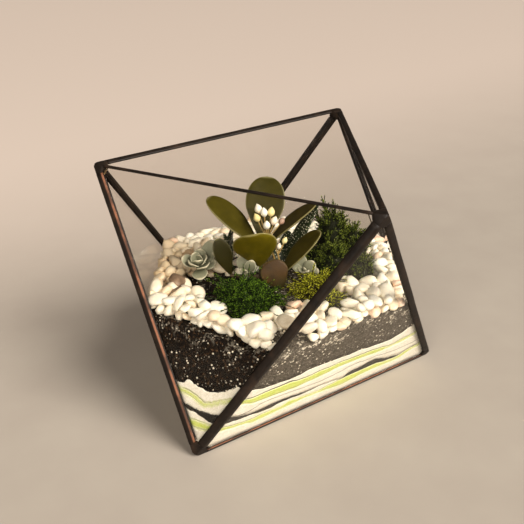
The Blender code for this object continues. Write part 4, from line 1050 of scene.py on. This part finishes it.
def sprays(skins, rng, start, way, length, spacing, leaf, spread, bend, thin=0.4):
    """Mossy stems with leaflets all round them in a spiral, pointing forwards and shorter at the tip."""
    number = len(start)
    steps = np.linspace(0, 1, 6)
    drop = np.column_stack([rng.normal(0, bend, (number, 2)), -np.abs(rng.normal(0, bend, number))])
    path = (start[:, None] + way[:, None] * (steps[None, :, None] * length[:, None, None])
            + drop[:, None] * (steps ** 2)[None, :, None] * length[:, None, None])
    grow_rods(skins, path, thin * MM * np.linspace(1, 0.5, 6)[None], 4, stem=1.0, tint=rng.random(number))
    per_stem = np.maximum((length / spacing).astype(int), 2)
    owner = np.repeat(np.arange(number), per_stem)
    order = np.concatenate([np.arange(n) for n in per_stem])
    share = (order + 0.5) / per_stem[owner]
    place = share * 5
    low = np.minimum(place.astype(int), 4)
    part = (place - low)[:, None]
    root = path[owner, low] * (1 - part) + path[owner, low + 1] * part
    along = unit(path[owner, low + 1] - path[owner, low])
    across, other = crosswise(along, along)
    turn = order * 2.4 + rng.normal(0, 0.4, len(order))
    out = across * np.cos(turn)[:, None] + other * np.sin(turn)[:, None]
    lean = unit(out + along * spread + rng.normal(0, 0.15, out.shape))
    size = leaf * (1.1 - 0.55 * share) * rng.uniform(0.75, 1.2, len(order))
    leaflets(skins, rng, root, lean, size, size * 0.3, size * 0.14, share=share,
             tint=rng.random(len(order)))


def mound_points(rng, mounds, number):
    """Places and outward ways on low mounds, thickest on top."""
    area = np.array([m[2] * m[3] for m in mounds], float)
    pick = rng.choice(len(mounds), number, p=area / area.sum())
    mound = np.array(mounds, float)[pick]
    turn = rng.uniform(0, math.tau, number)
    out = np.sqrt(rng.random(number)) * 0.97
    foot = SOIL_LEVEL / MM + 1.0
    rise = mound[:, 4] - foot
    spoke = np.stack([np.cos(turn) * mound[:, 2] * out, np.sin(turn) * mound[:, 3] * out, 0 * out], -1)
    place = spoke * 0.9
    place[:, 0] += mound[:, 0]
    place[:, 1] += mound[:, 1]
    place[:, 2] = foot + rise * 0.86 * (1 - out ** 2.4)
    way = unit(unit(spoke + 1e-6) * (0.25 + 0.9 * out)[:, None] + np.array([0, 0, 0.9])
               + rng.normal(0, 0.25, (number, 3)))
    return mm(*place), way


def mound_cores(skins, mounds, **fields):
    """Solid hearts of the mounds, so that no ground shows through."""
    rings, around = 9, 20
    ways = ball_ways(rings, around)
    ways = np.where(ways[:, 2:] < 0, ways * [1, 1, 0.15], ways)
    foot = SOIL_LEVEL / MM + 0.5
    for x, y, wide, deep, peak in mounds:
        size = np.array([wide * 0.86, deep * 0.86, (peak - foot) * 0.9]) * MM
        centre = mm((x, y, foot))
        grow_balls(skins, (centre + ways * size)[None], rings, around, **fields)


MOSSES = {
    # mounds: x, y, half-width, half-depth and height of the top in mm
    "moss_front": ((-37, -27, 10.5, 12, 84), (-38, -38, 7, 8, 79), (-29, -35, 6, 7, 79),
                   (-40, -15, 5, 6, 78)),
    "moss_right": ((37, -12, 13, 12, 106), (47, -20, 11, 10, 95), (28, -24, 11, 10, 88), (40, -33, 9, 9, 80),
                   (22, -14, 8, 8, 84), (24, 0, 8, 7, 82)),
    "moss_yellow": ((3, -36, 10, 6, 77), (13, -37, 7, 6, 77), (4, -52, 6, 5, 76)),
}
RIGHT_SPRIGS = (((36, -10, 98), (34.5, -3.5, 114.5)), ((40, -13, 96), (39.6, -8.5, 111.6)),
                ((33, -9, 92), (29, -2, 107)), ((43, -14, 88), (47, -8, 103)), ((46, -20, 86), (53, -17, 97)),
                ((50, -23, 80), (57, -23, 90)))


def cushion(skins, rng, mounds, count, lengths, spacing, leaf, spread, bend, thin=0.4, lift=0.0):
    """Mounds set all over with leafy stems; lengths, spacing and leaflets in mm."""
    mound_cores(skins, mounds, stem=1.0)
    start, way = mound_points(rng, mounds, count)
    if lift:
        way = unit(way + np.array([0, 0, lift]))
    length = rng.uniform(*lengths, count) * MM
    sprays(skins, rng, start, way, length, spacing * MM, leaf * MM, spread, bend, thin)


def green_moss(finish):
    """Vivid shaggy tufts: many leafy stems over low mounds."""
    rng = np.random.default_rng(31)
    skins = Skins()
    cushion(skins, rng, MOSSES["moss_front"], 400, (5, 11.5), 0.48, 2.3, 1.5, 0.5)
    skins.build("moss_front_tufts", finish, ("moss_front",), "moss_green")


def dark_moss(finish):
    """A dense bush: tall mounds of leafy stems and upright sprigs with side branches."""
    rng = np.random.default_rng(32)
    skins = Skins()
    cushion(skins, rng, MOSSES["moss_right"], 560, (4.5, 8.5), 0.62, 2.4, 1.2, 0.2, lift=0.7)
    foot, tip = (mm(*[sprig[i] for sprig in RIGHT_SPRIGS]) for i in (0, 1))
    reach_up = np.linalg.norm(tip - foot, axis=1)
    sprays(skins, rng, foot, unit(tip - foot), reach_up, 0.4 * MM, 2.2 * MM, 1.6, 0.04, 0.5)
    owner = np.repeat(np.arange(len(foot)), 14)
    share = rng.uniform(0.02, 0.75, len(owner))
    start = foot[owner] + (tip - foot)[owner] * share[:, None]
    way = unit(unit(tip - foot)[owner] * 1.3 + unit(rng.normal(size=(len(owner), 3))) * 0.7)
    sprays(skins, rng, start, way, (8 - 5 * share) * MM, 0.55 * MM, 1.9 * MM, 1.4, 0.1)
    skins.build("moss_right_plumes", finish, ("moss_right",), "moss_dark")


def yellow_moss(finish):
    """Coarse forked threads of reindeer moss over low mounds."""
    rng = np.random.default_rng(33)
    skins = Skins()
    cushion(skins, rng, MOSSES["moss_yellow"], 240, (4.5, 10), 0.8, 2.8, 1.5, 0.6, 0.45)
    skins.build("moss_yellow_threads", finish, ("moss_yellow",), "moss_yellow")


# ---------------------------------------------------------------- finishes

def clear_glass():
    """Bending glass for the eye, plain see-through for lamps."""
    finish = Finish("terrarium_glass")
    path = finish.tree.nodes.new("ShaderNodeLightPath")
    shadow = Wire(finish, path.outputs["Is Shadow Ray"])
    diffuse = Wire(finish, path.outputs["Is Diffuse Ray"])
    glass = finish.add("BsdfGlass", {}, {"Color": (0.945, 0.935, 0.92), "Roughness": 0.0, "IOR": 1.18})
    clear = finish.add("BsdfTransparent", {}, {"Color": (0.95, 0.95, 0.945)})
    mixed = finish.add("MixShader", {}, {0: (shadow + diffuse).clipped(), 1: glass, 2: clear})
    finish.tree.links.new(mixed.socket, finish.output.inputs["Surface"])
    return finish.material


def dark_patina():
    """Solder under a brown-black patina, hand-run and a little lumpy, with worn copper foil where
    the seam's 'copper' says so."""
    finish = Finish("patina_solder")
    broad = finish.noise(9 * MM)
    fine = finish.noise(0.8 * MM)
    colour = broad.ramp((0.3, (0.006, 0.004, 0.003)), (0.55, (0.014, 0.009, 0.006)),
                        (0.8, (0.035, 0.02, 0.012)))
    worn = finish.noise(18 * MM, 4.0).step(0.42, 0.58)
    foil = (finish.field("copper") + 0.5 * (finish.noise(1.5 * MM) - 0.5)).step(0.55, 0.85)
    colour = finish.mix(foil * (0.25 + 0.6 * worn), colour, (0.26, 0.105, 0.055))
    rough = 0.36 + 0.2 * broad + 0.1 * fine
    lumps = finish.bump(finish.noise(4 * MM, 2.0), 0.6 * MM, 0.4, finish.bump(fine, 0.08 * MM, 0.3))
    return finish.principled({"Base Color": colour, "Metallic": 0.0, "Roughness": rough,
                              "Specular IOR Level": 0.16, "Normal": lumps})


SANDS = {
    "white": ((0.72, 0.66, 0.52), (0.88, 0.83, 0.7), (0.97, 0.94, 0.85)),
    "green": ((0.5, 0.6, 0.08), (0.62, 0.7, 0.15), (0.76, 0.8, 0.32)),
    "black": ((0.008, 0.007, 0.006), (0.02, 0.017, 0.014), (0.06, 0.05, 0.042)),
    "soil": ((0.008, 0.006, 0.004), (0.022, 0.016, 0.011), (0.07, 0.05, 0.036)),
}


def sand(name, own, above, below):
    """Coarse craft sand: small grains of close tints, green fading into white over a millimetre,
    black ending in stray grains, and the layer's thin dark line."""
    finish = Finish(name)
    grain = finish.cells(0.5 * MM, "Color")
    value = finish.channel(grain, 0)
    stray = finish.channel(grain, 1)
    shade = 0.5 * value + 0.5 * finish.noise(6 * MM, 4.0)
    shades = {key: shade.ramp(*zip((0.15, 0.5, 0.85), SANDS[key])) for key in {own, above, below, "black"}}
    colour = shades[own]
    for key, side in ((above, "over"), (below, "under")):
        crisp = own in ("black", "soil") or key in ("black", "soil")
        near = 1 - finish.field(side).step(0.0, 0.35 if crisp else 1.5)
        share = near * stray.step(0.6, 0.7) if crisp else near * (0.3 + 0.45 * stray)
        colour = finish.mix(share, colour, shades[key])
    height = finish.field("thread") + 0.25 * (finish.noise(1.2 * MM) - 0.5)
    inside = (finish.field("half") ** 2 - height * height) / (0.04 + 0.3 * finish.field("half"))
    line = (inside * 2.5).clipped() * finish.field("half").step(0.02, 0.2)
    colour = finish.mix(line * 0.85, colour, shades["black"])
    grains = finish.bump(finish.cells(0.5 * MM), 0.2 * MM, 0.4)
    return finish.principled({"Base Color": colour, "Roughness": 0.85, "Normal": grains,
                              "Specular IOR Level": 0.15})


def soil():
    """Black potting soil: crumbs, white grains and dust, pale clumps near the top, and lighter
    soil behind the front pane, a painted reflection of the pale floor in that pane."""
    finish = Finish("potting_soil")
    crumbs = finish.noise(1.7 * MM, 6.0, 0.75)
    colour = crumbs.ramp((0.45, (0.003, 0.002, 0.001)), (0.56, (0.01, 0.006, 0.003)),
                         (0.62, (0.075, 0.036, 0.014)), (0.72, (0.24, 0.14, 0.07)))
    # Painted reflection: behind the front pane the soil is mixed towards a lighter grey-brown, standing in
    # for the pale floor mirrored in that pane.
    dry = finish.noise(1.1 * MM, 5.0, 0.7).ramp((0.35, (0.03, 0.024, 0.018)), (0.5, (0.095, 0.08, 0.06)),
                                                 (0.65, (0.26, 0.22, 0.17)))
    colour = finish.mix(finish.field("dry") * 0.8, colour, dry)
    speck = finish.cells(1.5 * MM)
    pick = finish.channel(finish.cells(1.5 * MM, "Color"), 0)
    near = 1 - finish.field("under").step(0.3, 7.0)
    grains = (1 - speck.step(0.3, 0.48)) * (pick + 0.1 * near).step(0.9, 0.95)
    crumb = finish.cells(0.7 * MM)
    dust = finish.channel(finish.cells(0.7 * MM, "Color"), 1)
    dust = (1 - crumb.step(0.25, 0.4)) * dust.step(0.955, 0.985)
    clump = finish.noise(8 * MM, 2.0).step(0.5, 0.57) * finish.noise(1.6 * MM, 4.0).step(0.5, 0.54)
    # The pale clumps gather mostly behind the front pane, where the painted reflection lightens the soil.
    clump = clump * (1 - finish.field("over").step(4.0, 12.0)) * (0.2 + 0.8 * finish.field("dry"))
    colour = finish.mix(clump * 0.85, colour, (0.78, 0.7, 0.56))
    colour = finish.mix((grains + dust).clipped(), colour, (0.9, 0.82, 0.66))
    lumps = finish.bump(finish.noise(1.3 * MM, 5.0, 0.7), 1.2 * MM, 0.8)
    return finish.principled({"Base Color": colour, "Roughness": 0.85, "Normal": lumps,
                              "Specular IOR Level": 0.1})


def marble():
    """Polished cream marble chips, each of its own tint, a few beige or peach, and those behind the
    left pane darkened and tanned by painted shade.
    """
    finish = Finish("marble_chips")
    tint = finish.field("tint")
    colour = tint.ramp((0.0, (0.93, 0.85, 0.68)), (0.35, (0.97, 0.93, 0.8)), (0.6, (0.88, 0.79, 0.61)),
                       (0.72, (0.97, 0.91, 0.77)), (0.95, (0.8, 0.66, 0.46)), (1.0, (0.82, 0.56, 0.42)))
    cloud = finish.noise(3 * MM, 5.0)
    colour = finish.mix(0.35 * cloud.step(0.45, 0.75), colour, (0.72, 0.66, 0.57))
    # Painted shade: chips near the patch behind the left pane are multiplied towards tan, the more the
    # nearer.
    colour = finish.mix(finish.field("warm") * 0.8, colour, (0.74, 0.6, 0.43), "MULTIPLY")
    colour = finish.mix(finish.field("brown"), colour, cloud.ramp((0.3, (0.1, 0.06, 0.035)),
                                                                  (0.7, (0.24, 0.16, 0.1))))
    pits = finish.bump(finish.noise(1.1 * MM, 4.0), 0.25 * MM, 0.4)
    return finish.principled({"Base Color": colour, "Roughness": 0.42 + 0.2 * cloud, "Normal": pits,
                              "Subsurface Weight": 0.12, "Subsurface Radius": (0.004, 0.003, 0.002),
                              "Subsurface Scale": 1.0})


def stone_beige():
    """A smooth beige pebble with faint bands."""
    finish = Finish("stone_beige")
    cloud = finish.noise(5 * MM, 5.0)
    colour = cloud.ramp((0.3, (0.62, 0.51, 0.36)), (0.6, (0.76, 0.66, 0.5)), (0.8, (0.84, 0.76, 0.62)))
    return finish.principled({"Base Color": colour, "Roughness": 0.35 + 0.2 * cloud,
                              "Normal": finish.bump(cloud, 0.3 * MM, 0.3)})


def jade_leaf():
    """Satin olive leaves with a painted highlight along the rim and at the tip, one of them brown and
    darker towards its root, some darkened by differing amounts of painted shade, on bark-brown stems."""
    finish = Finish("jade_leaf")
    across = finish.field("side")
    # The rim and tip masks carry a painted highlight: pale light caught along the rounded rim.
    rim = (across * across).step(0.86, 0.99)
    tip = finish.field("along").step(0.955, 1.0)
    cloud = finish.noise(7 * MM, 4.0)
    green = cloud.ramp((0.3, (0.07, 0.056, 0.001)), (0.55, (0.105, 0.082, 0.002)),
                       (0.8, (0.14, 0.112, 0.005)))
    # Painted shade: each leaf is darkened towards near-black olive by its 'dark' number, standing in for the
    # shade that falls on it.
    green = finish.mix(finish.field("dark") * 0.95, green, (0.016, 0.014, 0.002))
    # Where a leaf is brown, it turns a darker olive towards its root.
    darker_root = 1 - finish.field("along").step(0.12, 0.5)
    brown = cloud.ramp((0.3, (0.022, 0.01, 0.001)), (0.7, (0.06, 0.028, 0.003)))
    brown = finish.mix(darker_root * 0.8, brown, (0.02, 0.018, 0.003))
    colour = finish.mix(finish.field("brown"), green, brown)
    # Painted highlight: the rim and tip are mixed towards pale olive, less on brown leaves.
    pale = (rim + tip).clipped() * (1 - 0.6 * finish.field("brown"))
    colour = finish.mix(pale * 0.6, colour, (0.3, 0.27, 0.12))
    bark = finish.noise(1.5 * MM, 4.0).ramp((0.3, (0.05, 0.035, 0.018)), (0.7, (0.12, 0.085, 0.045)))
    colour = finish.mix(1 - finish.field("leaf"), colour, bark)
    bumps = finish.bump(finish.noise(3 * MM, 3.0), 0.4 * MM, 0.25)
    return finish.principled({"Base Color": colour, "Roughness": 0.34 + 0.16 * cloud, "Normal": bumps,
                              "Specular IOR Level": 0.14})


def glaucous_leaf():
    """Waxy grey-green leaves, cream at the rim, darker at the heart."""
    finish = Finish("glaucous_leaf")
    rim = (finish.field("side") * finish.field("side")).step(0.72, 1.0)
    end = finish.field("along").step(0.88, 1.0)
    colour = finish.field("along").ramp((0.1, (0.045, 0.05, 0.022)), (0.5, (0.14, 0.145, 0.085)),
                                        (0.85, (0.22, 0.22, 0.145)), (1.0, (0.34, 0.28, 0.17)))
    colour = finish.mix(finish.field("tint") * 0.4, colour, (0.2, 0.2, 0.12))
    colour = finish.mix((rim + end).clipped() * 0.7, colour, (0.74, 0.69, 0.5))
    bloom = finish.noise(1.6 * MM, 4.0)
    colour = finish.mix(0.25 * bloom, colour, (0.3, 0.3, 0.22))
    return finish.principled({"Base Color": colour, "Roughness": 0.5 + 0.2 * bloom,
                              "Normal": finish.bump(bloom, 0.15 * MM, 0.3), "Specular IOR Level": 0.25})


def banded_leaf():
    """Near-black green leaves with rows of small white warts."""
    finish = Finish("banded_leaf")
    base = finish.noise(3 * MM).ramp((0.3, (0.008, 0.014, 0.006)), (0.7, (0.025, 0.035, 0.012)))
    wart = finish.cells(1.35 * MM, 0, 0.5)
    dots = (1 - wart.step(0.2, 0.33)) * finish.field("along").step(0.1, 0.3)
    colour = finish.mix(dots, base, (0.75, 0.7, 0.5))
    return finish.principled({"Base Color": colour, "Roughness": 0.4, "Specular IOR Level": 0.2,
                              "Normal": finish.bump(dots, 0.4 * MM, 0.8)})


def bud_skin():
    """Ivory, yellow and pinkish buds on golden twigs."""
    finish = Finish("bud_ivory")
    colour = finish.field("tone").ramp((0.0, (0.88, 0.84, 0.7)), (0.35, (0.85, 0.7, 0.52)),
                                       (0.62, (0.25, 0.1, 0.05)), (0.85, (0.75, 0.6, 0.2)),
                                       (1.0, (0.8, 0.68, 0.28)))
    colour = finish.mix(finish.noise(2 * MM) * 0.3, colour, (0.95, 0.9, 0.75))
    twig = finish.noise(2 * MM).ramp((0.3, (0.22, 0.13, 0.03)), (0.7, (0.42, 0.28, 0.08)))
    colour = finish.mix(finish.field("twig"), colour, twig)
    return finish.principled({"Base Color": colour, "Roughness": 0.5,
                              "Normal": finish.bump(finish.noise(0.8 * MM), 0.15 * MM, 0.4)})


MOSS_COLOURS = {
    # leaflets at the root, half-way and at the tip, then the stems
    "moss_vivid": ((0.003, 0.007, 0.001), (0.016, 0.042, 0.003), (0.26, 0.48, 0.03), (0.004, 0.007, 0.001)),
    "moss_deep": ((0.005, 0.008, 0.001), (0.03, 0.046, 0.004), (0.34, 0.42, 0.055), (0.005, 0.006, 0.001)),
    "moss_pale": ((0.06, 0.055, 0.003), (0.34, 0.35, 0.01), (0.95, 0.95, 0.1), (0.03, 0.024, 0.004)),
}


def moss(name):
    """Moss leaflets: darker at the root, lighter towards the tip, each a little different."""
    low, middle, high, stem = MOSS_COLOURS[name]
    finish = Finish(name)
    value = 0.45 * finish.field("along") + 0.3 * finish.field("share") + 0.35 * finish.field("tint")
    colour = value.ramp((0.2, low), (0.52, middle), (0.88, high))
    colour = finish.mix(finish.noise(6 * MM) * 0.3, colour, low)
    colour = finish.mix(finish.field("stem"), colour, stem)
    return finish.principled({"Base Color": colour, "Roughness": 0.7, "Specular IOR Level": 0.1})


def pale_floor():
    """A wide plain floor under the vessel, lighter towards the back."""
    finish = Finish("floor_pale")
    far_off = finish.add("SeparateXYZ", {}, {0: finish.place}, 1).step(0.0, 0.55)
    near = finish.noise(60 * MM).ramp((0.3, (0.345, 0.3, 0.255)), (0.7, (0.375, 0.33, 0.28)))
    colour = finish.mix(far_off, near, (0.55, 0.465, 0.405))
    mesh = bpy.data.meshes.new("floor")
    far = 3.0
    mesh.from_pydata([(-far, -far, 0), (far, -far, 0), (far, far, 0), (-far, far, 0)], [], [(0, 1, 2, 3)])
    mesh.materials.append(finish.principled({"Base Color": colour, "Roughness": 0.75}))
    floor = place_object("floor", mesh)


# ---------------------------------------------------------------- light and camera

def area_light(name, place, target, size, power, colour):
    """A soft square lamp aimed at a point."""
    lamp = bpy.data.lights.new(name, "AREA")
    lamp.size = size
    lamp.energy = power
    lamp.color = colour
    holder = place_object(name, lamp)
    holder.location = place
    holder.rotation_euler = (Vector(target) - Vector(place)).to_track_quat("-Z", "Y").to_euler()


def camera():
    """The eye: bearing, height angle, roll and distance from the middle of the vessel, in edges."""
    azimuth, elevation, roll = (math.radians(a) for a in (-31.1217, 28.1369, -2.1327))
    distance, aside, over = 2.6005, -0.0426, 0.0098
    back = Vector((math.sin(azimuth) * math.cos(elevation), -math.cos(azimuth) * math.cos(elevation),
                   math.sin(elevation)))
    level = Vector((math.cos(azimuth), math.sin(azimuth), 0))
    upright = back.cross(level)
    right = level * math.cos(roll) + upright * math.sin(roll)
    up = upright * math.cos(roll) - level * math.sin(roll)
    middle = Vector((0, 0, 0.408 * EDGE + BEAD))
    place = middle + (back * distance + right * aside + up * over) * EDGE
    eye = bpy.data.cameras.new("eye")
    eye.sensor_width = 36
    eye.lens = 50.62
    eye.clip_start = 0.01
    holder = place_object("eye", eye)
    holder.matrix_world = Matrix.Translation(place) @ Matrix((right, up, back)).transposed().to_4x4()
    bpy.context.scene.camera = holder


def studio():
    """A dim warm room, an even soft key from the front right and a weak fill from the front left."""
    world = bpy.data.worlds.new("studio")
    world.use_nodes = True
    backdrop = world.node_tree.nodes["Background"]
    backdrop.inputs["Color"].default_value = (1.0, 0.87, 0.75, 1)
    backdrop.inputs["Strength"].default_value = 0.12
    bpy.context.scene.world = world
    bpy.context.scene.view_settings.view_transform = "Standard"
    key = bpy.data.lights.new("key", "SUN")
    key.energy = 5.6
    key.angle = math.radians(38)
    key.color = (1.0, 0.94, 0.86)
    holder = place_object("key", key)
    holder.rotation_euler = Vector((-0.36, 0.72, -0.6)).to_track_quat("-Z", "Y").to_euler()
    area_light("fill", (-1.5, -1.5, 1.1), (0, 0, 0.06), 1.3, 41, (1.0, 0.93, 0.84))


# ---------------------------------------------------------------- the whole

def dress(node, material):
    """Give a CAD node a finish, keeping its mesh."""
    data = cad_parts[node].data
    data.materials.clear()
    data.materials.append(material)


def build():
    """Dress the panes, then put every finer piece over its solid."""
    glass = clear_glass()
    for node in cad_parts:
        if node.startswith("pane_"):
            dress(node, glass)
    patina = dark_patina()
    rng = np.random.default_rng(5)
    for group, edges in (("side", SIDE_EDGES), ("base", BASE_EDGES), ("rim", RIM_EDGES)):
        for key, edge in edges.items():
            run_seam(f"seam_{group}_{key}", group, edge, patina, rng)
    for place, keys in (("top", "ABC"), ("base", "EFG")):
        for i, key in enumerate(keys):
            corner_lump(f"corner_{place}_{i + 1}", key, patina)
    kinds = ["white"] + [name.split("_")[1] for name in LAYERS] + ["soil"]
    grounds = {name: sand(name, kinds[i + 1], kinds[i + 2], kinds[i]) for i, name in enumerate(LAYERS)}
    grounds["soil"] = soil()
    pour(grounds)
    pebbles(marble())
    beige_stone(stone_beige())
    jade(jade_leaf())
    pale = glaucous_leaf()
    for seed, name in enumerate(ROSETTES):
        rosette(name, pale, seed + 1)
    banded = banded_leaf()
    for name in HAWORTHIAS:
        haworthia(name, banded)
    ivory = bud_skin()
    for name in BUDS:
        bud_sprig(name, ivory)
    green_moss(moss("moss_vivid"))
    dark_moss(moss("moss_deep"))
    yellow_moss(moss("moss_pale"))


build()
pale_floor()
studio()
camera()
